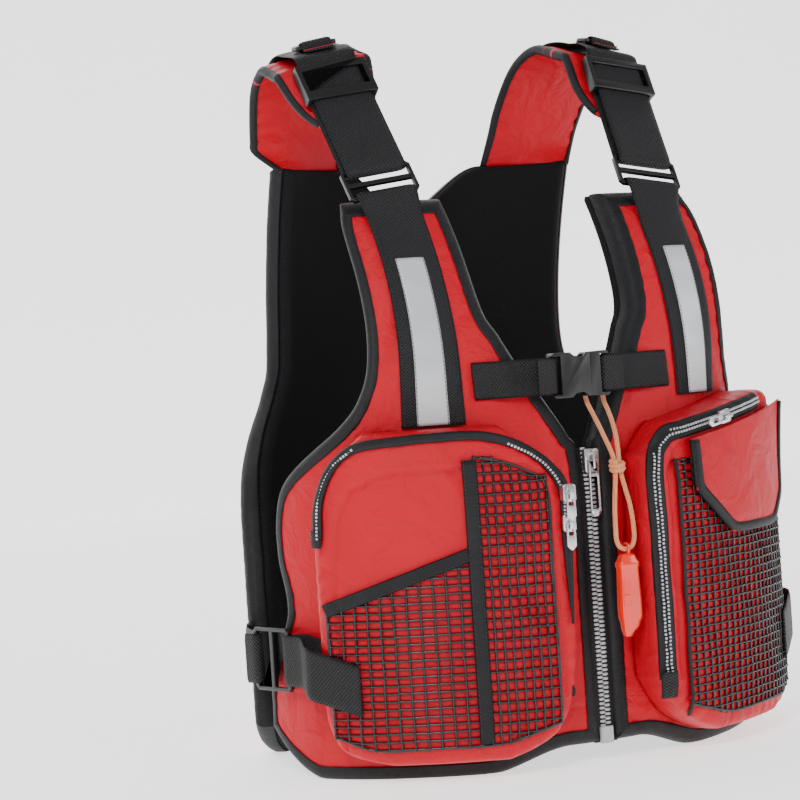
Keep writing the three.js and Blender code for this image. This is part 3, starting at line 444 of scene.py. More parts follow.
# %% Smooth curves
def smooth_line(points, steps):
    """A centripetal Catmull-Rom curve through points; steps points in each span."""
    p = np.asarray(points, float)
    p = np.vstack([2 * p[0] - p[1], p, 2 * p[-1] - p[-2]])
    knots = np.concatenate([[0], np.cumsum(np.maximum(np.linalg.norm(np.diff(p, axis=0), axis=1),
                                                      1e-6) ** 0.5)])
    line = []
    for i in range(1, len(p) - 2):
        t0, t1, t2, t3 = knots[i - 1:i + 3]
        t = np.linspace(t1, t2, steps, endpoint=False)[:, None]
        a = [(t1 - t) / (t1 - t0) * p[i - 1] + (t - t0) / (t1 - t0) * p[i],
             (t2 - t) / (t2 - t1) * p[i] + (t - t1) / (t2 - t1) * p[i + 1],
             (t3 - t) / (t3 - t2) * p[i + 1] + (t - t2) / (t3 - t2) * p[i + 2]]
        b = [(t2 - t) / (t2 - t0) * a[0] + (t - t0) / (t2 - t0) * a[1],
             (t3 - t) / (t3 - t1) * a[1] + (t - t1) / (t3 - t1) * a[2]]
        line.append((t2 - t) / (t2 - t1) * b[0] + (t - t1) / (t2 - t1) * b[1])
    return np.vstack([*line, p[-2][None]])


def unit(v):
    return v / np.maximum(np.linalg.norm(v, axis=-1, keepdims=True), 1e-9)


def run_lengths(line):
    return np.concatenate([[0], np.cumsum(np.linalg.norm(np.diff(line, axis=0), axis=1))])


def tube(name, line, radius, finish, around=14):
    """Sweeps a circle along a line, without twist, and closes its ends."""
    tangent = unit(np.gradient(line, axis=0))
    side = [unit(np.cross(tangent[0], [1.0, 0.3, 0.2]))]
    for t in tangent[1:]:
        side.append(unit(side[-1] - t * np.dot(side[-1], t)))
    side = np.array(side)
    other = np.cross(tangent, side)
    angle = np.linspace(0, 2 * np.pi, around + 1)
    ring = side[:, None] * np.cos(angle)[None, :, None] + other[:, None] * np.sin(angle)[None, :, None]
    points = line[:, None] + ring * radius
    uv = np.stack(np.broadcast_arrays(angle[None, :] * radius, run_lengths(line)[:, None]), -1)
    faces = grid_faces(len(line), around + 1)
    first, last = list(range(around, 0, -1)), [(len(line) - 1) * (around + 1) + k for k in range(around)]
    piece = make_mesh(name, points, faces + [first, last], uv, finish)
    shape = bmesh.new()
    shape.from_mesh(piece.data)
    bmesh.ops.remove_doubles(shape, verts=shape.verts, dist=1e-6)
    bmesh.ops.recalc_face_normals(shape, faces=shape.faces)
    shape.to_mesh(piece.data)
    shape.free()
    return piece

# %% Route of the cord
CORD_DIAMETER = 3.6
CORD_ROUTE = [
    (10.3, -176.2, 221.5), (10.3, -175.4, 227), (9.4, -173.4, 233), (7.6, -168.8, 243),
    (6.2, -162.4, 254), (5.4, -156.0, 263), (5.1, -151.2, 269.5), (5.0, -149.2, 276),
    (7.2, -148.8, 282.6), (12.5, -148.8, 285.2), (17.8, -148.8, 282.6), (20.0, -149.2, 276),
    (19.9, -151.2, 269.5), (19.6, -156.2, 263), (18.8, -162.8, 254), (17.4, -169.2, 243),
    (15.6, -173.6, 233), (14.7, -175.6, 226), (14.7, -176.4, 218), (16.6, -178.0, 206),
    (19.4, -180.0, 190), (20.4, -181.0, 174), (20.1, -181.0, 166), (17.6, -181.0, 161.2),
    (12.5, -181.0, 159.3), (7.4, -181.0, 161.2), (4.9, -181.0, 166), (4.6, -181.0, 174),
    (5.6, -180.0, 190), (8.4, -178.0, 206), (10.0, -176.8, 214), (10.3, -176.4, 220),
]
cord_line = smooth_line([(x, y + SHIFT, z) for x, y, z in CORD_ROUTE], 8)
cord = tube("whistle_lanyard", cord_line, CORD_DIAMETER / 2, CORD)
CORD_LENGTH = float(run_lengths(cord_line)[-1]) * MM
print("cord length", round(CORD_LENGTH, 4), "m,", len(cord.data.polygons), "faces")

# %% [markdown]
# The knot is a fat overhand knot pulled tight. Three close turns of the same cord over a
# swollen core read as one at this size, so the knot is a short coil round both strands.

# %% Knot
KNOT = np.array([12.5, -176.1 + SHIFT, 221.0])


def make_knot():
    turn = np.linspace(0, 2.7, 90) * 2 * np.pi
    share = turn / turn[-1]
    wide = 4.3 + 0.5 * np.sin(share * np.pi)
    coil = np.stack([wide * np.cos(turn), wide * 0.86 * np.sin(turn),
                     (share - 0.5) * 8.6 + 0.9 * np.sin(turn)], -1)
    return tube("lanyard_knot", coil + KNOT, CORD_DIAMETER / 2, CORD, 12)


knot = make_knot()
print("knot", len(knot.data.polygons), "faces")

# %% [markdown]
# The whistle is a flat pealess kind: a squared body with rounded edges, a collar and a ring
# on top for the cord, and a slanted mouthpiece below. It is one stack of rounded sections.

# %% Whistle
WHISTLE_PLACE = np.array([12.5, -181.0 + SHIFT, 0.0])
WHISTLE_TOP = 156


def rounded_section(half_x, half_y, power=4.0, count=28):
    angle = np.linspace(0, 2 * np.pi, count, endpoint=False)
    c, s = np.cos(angle), np.sin(angle)
    return np.stack([half_x * np.sign(c) * abs(c) ** (2 / power),
                     half_y * np.sign(s) * abs(s) ** (2 / power)], -1)


def stacked(name, sections, finish):
    """A closed skin over sections of (height, points); each section has as many points."""
    count = len(sections[0][1])
    points = np.vstack([np.column_stack([p, np.broadcast_to(z, count)]) for z, p in sections])
    faces = []
    for row in range(len(sections) - 1):
        for k in range(count):
            a, b = row * count + k, row * count + (k + 1) % count
            faces.append([a, b, b + count, a + count])
    faces += [list(range(count))[::-1], [(len(sections) - 1) * count + k for k in range(count)]]
    return face_out(make_mesh(name, points, faces, np.zeros((len(points), 2)), finish))


def make_whistle():
    # height below the top, half width, half depth, sideways shift
    rows = [(62, 3.4, 2.2, -1.2), (61, 5.2, 3.2, -1.0), (57, 6.8, 4.0, -0.6), (51, 7.6, 4.6, -0.3),
            (49.5, 8.4, 5.3, 0), (47, 8.8, 5.7, 0), (38, 8.9, 5.9, 0), (30, 8.6, 5.8, 0),
            (20, 8.2, 5.6, 0),
            (11, 7.9, 5.4, 0), (9.6, 8.7, 5.9, 0), (6.4, 8.7, 5.9, 0), (5, 7.4, 5.1, 0),
            (2, 6.4, 4.4, 0),
            (0.6, 5.2, 3.5, 0), (0, 3.6, 2.4, 0)]
    sections = []
    for drop, x, y, off in rows:
        outline = rounded_section(x, y)
        slant = np.where(outline[:, 0] < 0, 0.0, 0.9) * max(0, drop - 50) / 12 * 5
        sections.append((WHISTLE_TOP - drop + slant, outline + [off, 0] + WHISTLE_PLACE[:2]))
    body = stacked("whistle_body", sections, WHISTLE)
    angle = np.linspace(0, 2 * np.pi, 33)
    ring = np.stack([0 * angle, 3.9 * np.cos(angle), 3.6 + 3.9 * np.sin(angle)], -1)
    lug = tube("whistle_ring", ring + WHISTLE_PLACE + [0, 0, WHISTLE_TOP], 1.15, WHISTLE, 12)
    slot = make_mesh("whistle_slot", *box_points((-8.2, -2.0), (-6.3, -5.4), (118, 126)), None,
                     WHISTLE, False)
    return body, lug, slot


def box_points(xs, ys, zs):
    """Corners and faces of a box that stands on the whistle's axis."""
    corners = [(x, y, z) for z in zs for y in ys for x in xs]
    points = np.array(corners, float) + WHISTLE_PLACE
    return points, [[0, 2, 3, 1], [4, 5, 7, 6], [0, 1, 5, 4], [2, 6, 7, 3], [0, 4, 6, 2], [1, 3, 7, 5]]


def soften(piece, width, segments=3, angle=35):
    """Rounds the sharp edges of a merged shape."""
    modifier = piece.modifiers.new("edge", "BEVEL")
    modifier.width = width * MM
    modifier.segments = segments
    modifier.limit_method = "ANGLE"
    modifier.angle_limit = math.radians(angle)
    modifier.harden_normals = False
    return keep_result(piece)


def joined(name, *parts):
    """One object from several, which is how a moulding with a ring is made."""
    shape = bmesh.new()
    for part in parts:
        shape.from_mesh(part.data)
    mesh = parts[0].data
    shape.to_mesh(mesh)
    shape.free()
    for part in parts[1:]:
        bpy.data.objects.remove(part)
    parts[0].name = name
    return parts[0]


body, lug, slot = make_whistle()
soften(face_out(slot), 0.8)
whistle = joined("whistle_moulding", body, lug, slot)
print("whistle", len(whistle.data.polygons), "faces")

for piece, node in ((cord, "whistle_cord"), (knot, "whistle_knot"), (whistle, "whistle")):
    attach(piece, "whistle")
    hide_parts(node)

# %% [markdown]
# ## The body form
# The vest is wrapped round a body. A place on it is (s, z, d): s runs round the vest from
# the middle of the front, positive to the wearer's left, z is the height and d the distance
# out from the body. Working on whole arrays makes a fine cloth grid as quick as one point.

# %% The form
T = 26
SIDE_CENTRE, CORNER_DROP, SIDE_RADIUS = 82, 34, 100
FRONT_CENTRE = (SIDE_CENTRE ** 2 - CORNER_DROP ** 2) / (2 * CORNER_DROP)
FRONT_RADIUS = 134 + FRONT_CENTRE
TURN_ANGLE = math.atan2(SIDE_CENTRE, FRONT_CENTRE)
FRONT_ARC = (FRONT_RADIUS + T) * TURN_ANGLE
SIDE_ARC = (SIDE_RADIUS + T) * (math.pi - 2 * TURN_ANGLE)
HALF_GIRTH = 2 * FRONT_ARC + SIDE_ARC


def ease(t):
    t = np.clip(t, 0, 1)
    return t * t * (3 - 2 * t)


def torso(s, z, d):
    s, z, d = np.broadcast_arrays(*(np.asarray(v, float) for v in (s, z, d)))
    a = abs(s)
    front, back = a <= FRONT_ARC, a > FRONT_ARC + SIDE_ARC
    wide = FRONT_RADIUS + T
    angle = np.where(front, a / wide, np.where(back, math.pi - (HALF_GIRTH - a) / wide,
                                               TURN_ANGLE + (a - FRONT_ARC) / (SIDE_RADIUS + T)))
    reach = np.where(front | back, FRONT_RADIUS, SIDE_RADIUS) + d
    x = np.where(front | back, 0, SIDE_CENTRE) + reach * np.sin(angle)
    y = np.where(front, FRONT_CENTRE, np.where(back, -FRONT_CENTRE, 0)) - reach * np.cos(angle)
    rise = np.maximum(0, z - 300) / 200
    flat = 0.36 * ease((z - 190) / 190) * (120 - np.clip(a, 40, 180))
    y = y + ease(np.cos(angle) / 0.7) * (116 * rise ** 2 + flat) - ease(-np.cos(angle) / 0.7) * 45 * rise ** 2
    return np.stack([np.sign(s + 1e-9) * x, y + SHIFT, z], -1)


def normal_at(s, z, d):
    """Outward direction of the form."""
    return unit(torso(s, z, d + 1.0) - torso(s, z, d))


print("half girth", round(HALF_GIRTH, 1), "mm")

# %% [markdown]
# A pattern edge is a smooth line through a few points, read as s at a height z. Cloth grids
# are denser near their edges, where a padded panel turns round its corner.

# %% Pattern edges
def edge_through(points):
    p = np.array(points, float)
    p = np.vstack([2 * p[0] - p[1], p, 2 * p[-1] - p[-2]])
    t = np.linspace(0, 1, 24, endpoint=False)[:, None]
    spans = []
    for a, b, c, d in zip(p, p[1:], p[2:], p[3:]):
        spans.append(0.5 * (2 * b + (c - a) * t + (2 * a - 5 * b + 4 * c - d) * t ** 2
                            + (3 * b - a - 3 * c + d) * t ** 3))
    line = np.vstack([*spans, p[-2][None]])
    return lambda z: np.interp(z, line[:, 0], line[:, 1])


def edge_rows(count, dense=0.55):
    t = np.linspace(0, 1, count + 1)
    return (1 - dense) * t + dense * (0.5 - 0.5 * np.cos(np.pi * t))


def border_of(s, z):
    """The border of a grid as one loop of (s, z), anticlockwise in grid order."""
    loop = [(s[0, :-1], z[0, :-1]), (s[:-1, -1], z[:-1, -1]),
            (s[-1, :0:-1], z[-1, :0:-1]), (s[:0:-1, 0], z[:0:-1, 0])]
    return np.column_stack([np.concatenate([a for a, _ in loop]), np.concatenate([b for _, b in loop])])


def from_border(s, z, border):
    """For each grid point the distance to the border, and how far round the border that is."""
    run = np.concatenate([[0], np.cumsum(np.linalg.norm(np.diff(border, axis=0), axis=1))])
    points = np.column_stack([s.ravel(), z.ravel()])
    near = np.full(len(points), 1e9)
    place = np.zeros(len(points))
    closed = np.vstack([border, border[:1]])
    for k in range(len(border)):
        a, b = closed[k], closed[k + 1]
        step = b - a
        t = np.clip(((points - a) @ step) / max(step @ step, 1e-9), 0, 1)
        gap = np.linalg.norm(points - a - t[:, None] * step, axis=1)
        closer = gap < near
        near[closer] = gap[closer]
        place[closer] = run[k] + t[closer] * np.linalg.norm(step)
    return near.reshape(s.shape), place.reshape(s.shape)

# %% [markdown]
# Folds make cloth look like cloth. Two kinds are added to the grid itself: broad soft folds
# from smooth noise stretched along one direction, and small puckers that run in from a sewn
# edge and die out, because the thread is always a little shorter than the cloth.

# %% Folds and puckers
def soft_noise(s, z, long_s, long_z, seed):
    """Smooth noise from about -1 to 1, with features of the given lengths."""
    flat = zip((s / long_s).ravel().tolist(), (z / long_z).ravel().tolist())
    return np.array([noise.noise(Vector((a, b, seed * 7.31))) for a, b in flat]).reshape(s.shape)


def folds(s, z, seed, slant=0.4, size=1.0):
    """Creases: the ridges of stretched noise, sharper than the noise itself."""
    broad = soft_noise(s + slant * z, z, 46, 120, seed)
    crease = 1 - 2 * abs(soft_noise(s + slant * z + 12 * broad, z - slant * s, 34, 110, seed + 3))
    fine = soft_noise(s - slant * z, z, 14, 40, seed + 5)
    return size * (1.5 * broad + 1.1 * crease + 0.45 * fine)


def puckers(near, place, seed, size=1.0, pitch=13.0):
    wander = soft_noise(place, near, 40, 30, seed + 9)
    wave = np.sin(2 * np.pi * place / pitch + 5 * wander)
    return size * wave * np.exp(-near / 11) * (1 - np.exp(-near / 2.5)) * (0.6 + 0.8 * wander)

# %% [markdown]
# A padded panel is a shallow tray of cloth: a crowned face, a rounded shoulder, and a wall
# down its side. The function gives the tray and keeps what later pieces need, such as how
# far the face is out at any place, so that tape, net and zip lie on the cloth and not in it.

# %% The tray of a padded panel
def drop_of(near, radius):
    """How far a rounded edge falls below the face at a distance from the border."""
    t = np.clip(1 - near / radius, 0, 1)
    return radius * (1 - np.sqrt(np.maximum(0, 1 - t * t)))


class Tray:
    """A padded face on the form. side is -1 for the wearer's right."""

    def __init__(self, name, side, edges, hem, top, face, base, radius, finish, columns=64, rows=110,
                 crown=3.0, seed=1, fold=1.0, pucker=1.0, slant=0.4, grooves=(), wall=1.3,
                 levels=None, ceiling=2.1):
        self.side, self.face, self.base, self.radius = side, face, base, radius
        u, v = np.meshgrid(edge_rows(columns), edge_rows(rows))
        self.place_of = lambda a, b: self.place(edges, hem, top, levels, a, b)
        s, z = self.place_of(u, v)
        self.border = border_of(s, z)
        near, run = from_border(s, z, self.border)
        self.crown, self.seed, self.fold_size, self.slant = crown, seed, fold, slant
        lift = crown * (1 - np.exp(-near / 30)) + folds(s, z, seed, slant, fold) * ease(near / 22)
        lift = lift + puckers(near, run, seed, pucker)
        lift = np.where(lift > 0, ceiling * np.tanh(lift / ceiling), lift)
        for line, depth, width in grooves:
            lift = lift - depth * np.exp(-(line_gap(s, z, line) / width) ** 2)
        self.s, self.z, self.lift = s, z, lift
        d = face - drop_of(near, radius) + lift
        self.d = d
        points = [torso(side * s, z, d).reshape(-1, 3)]
        uv = [np.stack([s, z], -1).reshape(-1, 2)]
        faces = grid_faces(rows + 1, columns + 1)
        ring = border_ring(rows + 1, columns + 1)
        loop, count = self.border, len(ring)
        inward = inward_of(loop)
        edge_d = d.ravel()[ring]
        last, start = np.array(ring), len(points[0])
        steps = 7
        for k in range(1, steps + 1):
            share = k / steps
            tuck = 0.7 * math.sin(share * math.pi)
            level = edge_d + (base - edge_d) * share
            spot = loop - inward * tuck
            points.append(torso(side * spot[:, 0], np.maximum(spot[:, 1], 0), level))
            uv.append(loop - inward * (edge_d - level)[:, None])
            now = np.arange(start, start + count)
            faces += [[last[i], now[i], now[(i + 1) % count],
                       last[(i + 1) % count]] for i in range(count)]
            last, start = now, start + count
        self.piece = make_mesh(name, np.vstack(points), faces, np.vstack(uv), finish)
        if wall:
            face_towards(self.piece, torso(side * s.mean(), z.mean(), 200.0))
            thicken(self.piece, wall)
        print(name, len(self.piece.data.polygons), "faces")

    @staticmethod
    def place(edges, hem, top, levels, u, v):
        inner, outer = edges
        bottom, height = levels or (0, top(0))
        level = bottom + v * (height - bottom)
        s = inner(level) + u * (outer(level) - inner(level))
        low, high = hem(s if levels else inner(0) + u * (outer(0) - inner(0))), top(s)
        return s, low + v * (high - low)

    def out(self, s, z, gap=0.0):
        """Distance out of the cloth at unsigned s and z, by the nearest grid points."""
        s, z = np.broadcast_arrays(np.asarray(s, float), np.asarray(z, float))
        flat = np.column_stack([s.ravel(), z.ravel()])
        grid = np.column_stack([self.s.ravel(), self.z.ravel()])
        found = np.empty(len(flat))
        for k, p in enumerate(flat):
            gaps = ((grid - p) ** 2).sum(1)
            best = np.argpartition(gaps, 6)[:6]
            weight = 1 / (gaps[best] + 0.4)
            found[k] = (self.d.ravel()[best] * weight).sum() / weight.sum()
        return found.reshape(s.shape) + gap


def border_ring(rows, columns):
    index = np.arange(rows * columns).reshape(rows, columns)
    return np.concatenate([index[0, :-1], index[:-1, -1], index[-1, :0:-1], index[:0:-1, 0]]).tolist()


def inward_of(loop):
    """Unit vectors into a closed loop that runs anticlockwise."""
    run = unit(np.roll(loop, -1, 0) - np.roll(loop, 1, 0))
    area = np.sum(loop[:, 0] * np.roll(loop[:, 1], -1) - np.roll(loop[:, 0], -1) * loop[:, 1])
    return np.column_stack([-run[:, 1], run[:, 0]]) * np.sign(area)


def line_gap(s, z, line):
    """Distance of every grid point from an open line of (s, z) points."""
    points = np.column_stack([s.ravel(), z.ravel()])
    near = np.full(len(points), 1e9)
    for a, b in zip(np.array(line[:-1], float), np.array(line[1:], float)):
        step = b - a
        t = np.clip(((points - a) @ step) / (step @ step), 0, 1)
        near = np.minimum(near, np.linalg.norm(points - a - t[:, None] * step, axis=1))
    return near.reshape(s.shape)


def face_towards(piece, outside):
    """Turns an open sheet so that its faces look towards a point outside."""
    middle = piece.data.polygons[len(piece.data.polygons) // 3]
    if middle.normal.dot(Vector(outside * MM) - middle.center) < 0:
        piece.data.flip_normals()

# %% [markdown]
# ## Front panels
# Each front panel is a foam slab in a red shell with a black lining. The shell and the
# lining are trays that meet half way down the side; the foam between them is a third.

# %% Front edges
inner_edge = edge_through([(0, 8), (212, 8), (236, 13), (258, 24), (278, 35), (296, 46), (320, 58),
                           (346, 69), (430, 74)])
outer_edge = edge_through([(0, 283), (40, 281), (58, 274), (97, 253), (143, 260), (177, 259),
                           (207, 246),
                           (247, 197), (273, 179), (309, 172), (400, 172), (430, 165)])


def front_hem(s):
    return 16 * ease((100 - s) / 70) + 36 * np.clip((s - 225) / 58, 0, 1) ** 1.5


def front_top(s):
    return 430 + 0 * s


SIDES = (("right", -1), ("left", 1))
panels = {}
for name, side in SIDES:
    shared = dict(side=side, edges=(inner_edge, outer_edge), hem=front_hem, top=front_top, levels=None)
    panels[name] = Tray(f"panel_shell_{name}", face=T - 1.2, base=T / 2, radius=6, finish=RED,
                        crown=2.4,
                        seed=11 + side, fold=1.9, pucker=2.0, columns=70, rows=130, **shared)

# %% [markdown]
# The lining is the same tray seen from the body side, so its face lies at the form and its
# wall rises to meet the shell. The foam is a plain smooth slab just inside both.

# %% Linings and foam
def inside_tray(name, side, edges, hem, top, columns=40, rows=70, levels=None):
    """A lining: the face lies on the body side, so the tray is built towards the body."""
    u, v = np.meshgrid(edge_rows(columns), edge_rows(rows))
    s, z = Tray.place(edges, hem, top, levels, u, v)
    border = border_of(s, z)
    near, _ = from_border(s, z, border)
    d = 0.8 + drop_of(near, 6) - 0.6 * folds(s, z, 31 + side, 0.1, 0.6) * ease(near / 20)
    points = [torso(side * s, z, d).reshape(-1, 3),
              torso(side * border[:, 0], border[:, 1], T / 2 - 0.3)]
    uv = [np.stack([s, z], -1).reshape(-1, 2), border]
    ring = border_ring(rows + 1, columns + 1)
    start = len(points[0])
    faces = grid_faces(rows + 1, columns + 1)
    count = len(ring)
    faces += [[ring[i], start + i, start + (i + 1) % count,
               ring[(i + 1) % count]] for i in range(count)]
    piece = make_mesh(name, np.vstack(points), faces, np.vstack(uv), LINING)
    face_towards(piece, torso(side * s.mean(), z.mean(), -60.0))
    return thicken(piece, 0.9)


def foam_slab(name, side, edges, hem, top, inset, levels=None):
    rows, columns = 30, 18
    u, v = np.meshgrid(np.linspace(0, 1, columns + 1), np.linspace(0, 1, rows + 1))
    s, z = Tray.place(edges, hem, top, levels, u, v)
    middle = np.array([s.mean(), z.mean()])
    border = border_of(s, z)
    near, _ = from_border(s, z, border)
    wide, tall = np.ptp(s, axis=1).max(), np.ptp(z, axis=0).max()
    s = middle[0] + (s - middle[0]) * (1 - 2 * inset / wide)
    z = middle[1] + (z - middle[1]) * (1 - 2 * inset / tall)
    half = (T / 2 - 3.2) - drop_of(near, 7) * 0.8
    points = np.vstack([torso(side * s, z, T / 2 + half).reshape(-1, 3),
                        torso(side * s, z, T / 2 - half).reshape(-1, 3)])
    front = grid_faces(rows + 1, columns + 1)
    count = (rows + 1) * (columns + 1)
    ring = border_ring(rows + 1, columns + 1)
    n = len(ring)
    wall = [[ring[i], ring[(i + 1) % n], ring[(i + 1) % n] + count, ring[i] + count] for i in range(n)]
    faces = front + [[count + k for k in f[::-1]] for f in front] + wall
    return face_out(make_mesh(name, points, faces, None, FOAM))


def settle(piece, body, node, slot):
    """Rides a piece on a body in place of a CAD node; slot is not used."""
    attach(piece, body)
    if node:
        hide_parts(*([node] if isinstance(node, str) else node))
    return piece


for name, side in SIDES:
    half = f"{name}_half"
    settle(panels[name].piece, half, f"front_shell_{name}", "red_cloth")
    lining = inside_tray(f"panel_lining_{name}", side, (inner_edge, outer_edge), front_hem, front_top)
    settle(lining, half, f"front_lining_{name}", "lining")
    foam = foam_slab(f"panel_foam_{name}", side, (inner_edge, outer_edge), front_hem, front_top, 7)
    settle(foam, half, f"front_foam_{name}", "foam")
print("front panels ready")

# %% [markdown]
# ## Rows of small things
# Stitches and zip teeth repeat along a path, which is what Geometry Nodes do well. The tree
# takes lines of edges, spaces points along them, and puts one small item at each, turned to
# the line and to the outward direction that each line point carries.

# %% Row tree
def new_tree(name, sockets):
    tree = bpy.data.node_groups.new(name, "GeometryNodeTree")
    for label, kind in (("Geometry", "NodeSocketGeometry"), *sockets):
        tree.interface.new_socket(label, in_out="INPUT", socket_type=kind)
    tree.interface.new_socket("Geometry", in_out="OUTPUT", socket_type="NodeSocketGeometry")
    return tree, tree.nodes.new("NodeGroupInput"), tree.nodes.new("NodeGroupOutput")


def add_node(tree, kind, settings=None, **links):
    """Adds a node; each link is an input name and a socket or a plain value."""
    made = tree.nodes.new(kind)
    for key, value in (settings or {}).items():
        setattr(made, key, value)
    for key, value in links.items():
        socket = made.inputs[key.replace("_", " ")]
        if isinstance(value, bpy.types.NodeSocket):
            tree.links.new(value, socket)
        else:
            socket.default_value = value
    return made


def row_tree():
    tree, start, end = new_tree("row_of_items", (("Item", "NodeSocketObject"),
                                                 ("Spacing", "NodeSocketFloat"),
                                                 ("Finish", "NodeSocketMaterial")))
    curve = add_node(tree, "GeometryNodeMeshToCurve", Mesh=start.outputs["Geometry"])
    even = add_node(tree, "GeometryNodeResampleCurve", {"mode": "LENGTH"}, Curve=curve.outputs[0],
                    Length=start.outputs["Spacing"])
    out = add_node(tree, "GeometryNodeInputNamedAttribute", {"data_type": "FLOAT_VECTOR"}, Name="out")
    along = add_node(tree, "GeometryNodeInputTangent")
    first = add_node(tree, "FunctionNodeAlignRotationToVector", {"axis": "Z"}, Vector=out.outputs[0])
    second = add_node(tree, "FunctionNodeAlignRotationToVector", {"axis": "X", "pivot_axis": "Z"},
                      Rotation=first.outputs[0], Vector=along.outputs[0])
    item = add_node(tree, "GeometryNodeObjectInfo", Object=start.outputs["Item"])
    placed = add_node(tree, "GeometryNodeInstanceOnPoints", Points=even.outputs[0],
                      Instance=item.outputs["Geometry"], Rotation=second.outputs[0])
    real = add_node(tree, "GeometryNodeRealizeInstances", Geometry=placed.outputs[0])
    done = add_node(tree, "GeometryNodeSetMaterial", Geometry=real.outputs[0],
                    Material=start.outputs["Finish"])
    tree.links.new(done.outputs[0], end.inputs[0])
    return tree


ROW = row_tree()
print("tree", ROW.name, len(ROW.nodes), "nodes")

# %% Running the trees
def run_tree(piece, tree, **values):
    """Runs a tree on a piece and keeps the plain mesh it makes."""
    modifier = piece.modifiers.new("made", "NODES")
    modifier.node_group = tree
    for item in tree.interface.items_tree:
        if item.in_out == "INPUT" and item.name in values:
            modifier[item.identifier] = values[item.name]
    piece = keep_result(piece)
    for polygon in piece.data.polygons:
        polygon.use_smooth = True
    return piece


def line_mesh(name, lines):
    """Lines of edges in millimetres; each line is (points, outward directions)."""
    points = np.vstack([p for p, _ in lines])
    outs = np.vstack([np.broadcast_to(o, p.shape) for p, o in lines])
    edges, start = [], 0
    for p, _ in lines:
        edges += [(start + k, start + k + 1) for k in range(len(p) - 1)]
        start += len(p)
    mesh = bpy.data.meshes.new(name)
    mesh.from_pydata((points * MM).tolist(), edges, [])
    mesh.attributes.new("out", "FLOAT_VECTOR", "POINT").data.foreach_set("vector",
        outs.astype(np.float32).ravel())
    piece = bpy.data.objects.new(name, mesh)
    bpy.context.scene.collection.objects.link(piece)
    return piece


def small_item(name, half, power=1.0, rows=5, around=6):
    """A little bead with half sizes along, across and out: a stitch, a tooth or a knot."""
    points, faces = [], []
    for k in range(rows):
        lift = math.cos(math.pi * (k + 0.5) / rows)
        ring = math.sqrt(1 - lift * lift) ** power
        for j in range(around):
            a = 2 * math.pi * (j + 0.5) / around
            points.append((half[0] * abs(lift) ** power * math.copysign(1, lift),
                           half[1] * ring * math.cos(a), half[2] * ring * math.sin(a)))
    for k in range(rows - 1):
        for j in range(around):
            a, b = k * around + j, k * around + (j + 1) % around
            faces.append([a, a + around, b + around, b])
    faces += [list(range(around)), [(rows - 1) * around + j for j in reversed(range(around))]]
    item = face_out(make_mesh(name, points, faces))
    for home in list(item.users_collection):
        home.objects.unlink(item)
    return item


STITCH = small_item("stitch_item", (1.15, 0.26, 0.24))


def stitch(name, lines, finish, body, spacing=3.0, item=None):
    piece = run_tree(line_mesh(name, lines), ROW, Item=item or STITCH, Spacing=spacing * MM,
                     Finish=finish)
    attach(piece, body)
    print(name, len(piece.data.polygons), "faces")
    return piece

# %% [markdown]
# ## Binding
# Tape is folded over the raw edge of every panel. On the face it is a band about 10 mm wide,
# then it turns round the corner. Its section follows the rounded edge of the tray at a small
# distance, and it thickens a little in the middle, so the border catches the light.

# %% Tape round a border
def band_round(name, tray, width, gap, finish, wrap=7.0, puff=0.7):
    """A tape over the whole border of a tray, and the lines of its two stitch rows."""
    loop = tray.border
    inward = inward_of(loop)
    for _ in range(6):
        inward = unit(inward + 0.5 * (np.roll(inward, 1, 0) + np.roll(inward, -1, 0)))
    t = np.linspace(-wrap, width, 15)
    near = np.maximum(t, 0)
    level = -drop_of(near, tray.radius) - np.maximum(-t, 0)
    section = np.column_stack([near, level])
    run = unit(np.gradient(section, axis=0))
    push = gap + puff * (1 - abs(2 * (t + wrap) / (width + wrap) - 1) ** 5)
    section = section + np.column_stack([-run[:, 1], run[:, 0]]) * push[:, None]
    ring = border_ring(*tray.s.shape)
    inner_lift = tray.lift.ravel()[ring]
    s = loop[:, 0, None] + inward[:, 0, None] * section[None, :, 0]
    z = loop[:, 1, None] + inward[:, 1, None] * section[None, :, 0]
    ripple = 0.35 * soft_noise(s, z, 18, 18, tray.seed + 20)
    d = tray.face + inner_lift[:, None] + section[None, :, 1] + ripple
    lift = tray.out(s[:, -1], z[:, -1]) + gap
    d += (np.maximum(lift, d[:, -1]) - d[:, -1])[:, None] * (np.maximum(t, 0) / width)[None, :] ** 2
    points = torso(tray.side * s, z, d)
    points[..., 2] = np.maximum(points[..., 2], 0.6)
    run_round = run_lengths(np.vstack([loop, loop[:1]]))
    order = np.arange(len(loop) + 1)
    rows = points[order % len(loop)]
    uv = np.stack(np.broadcast_arrays(t[None, :], run_round[:, None]), -1)
    piece = make_mesh(name, rows, grid_faces(len(rows), len(t)), uv, finish)
    face_towards(piece, torso(tray.side * float(tray.s.mean()), float(tray.z.mean()), 400.0))
    middle = len(t) - 1
    lines = []
    for k in (middle - 1, middle - 7):
        lines.append((rows[:, k] + 0.1 * normal_rows(tray, s, z, d, order, k),
                      normal_rows(tray, s, z, d, order, k)))
    return thicken(piece, 0.5, even=False), lines


def normal_rows(tray, s, z, d, order, k):
    index = order % len(s)
    return normal_at(tray.side * s[index, k], z[index, k], d[index, k])


for name, side in SIDES:
    band, lines = band_round(f"panel_binding_{name}", panels[name], 10, 0.35, BINDING)
    settle(band, f"{name}_half", f"front_binding_{name}", "binding")
    stitch(f"panel_binding_stitches_{name}", lines, BLACK_THREAD, f"{name}_half")

# %% [markdown]
# ## The back
# The back opens like a book about the spine. Its shell and its lining are single sheets
# across the joint, over two foam slabs that each ride on one half.

# %% Back panel
back_edge = edge_through([(0, 240), (160, 240), (200, 228), (240, 195), (280, 162), (320, 150),
                          (470, 150)])


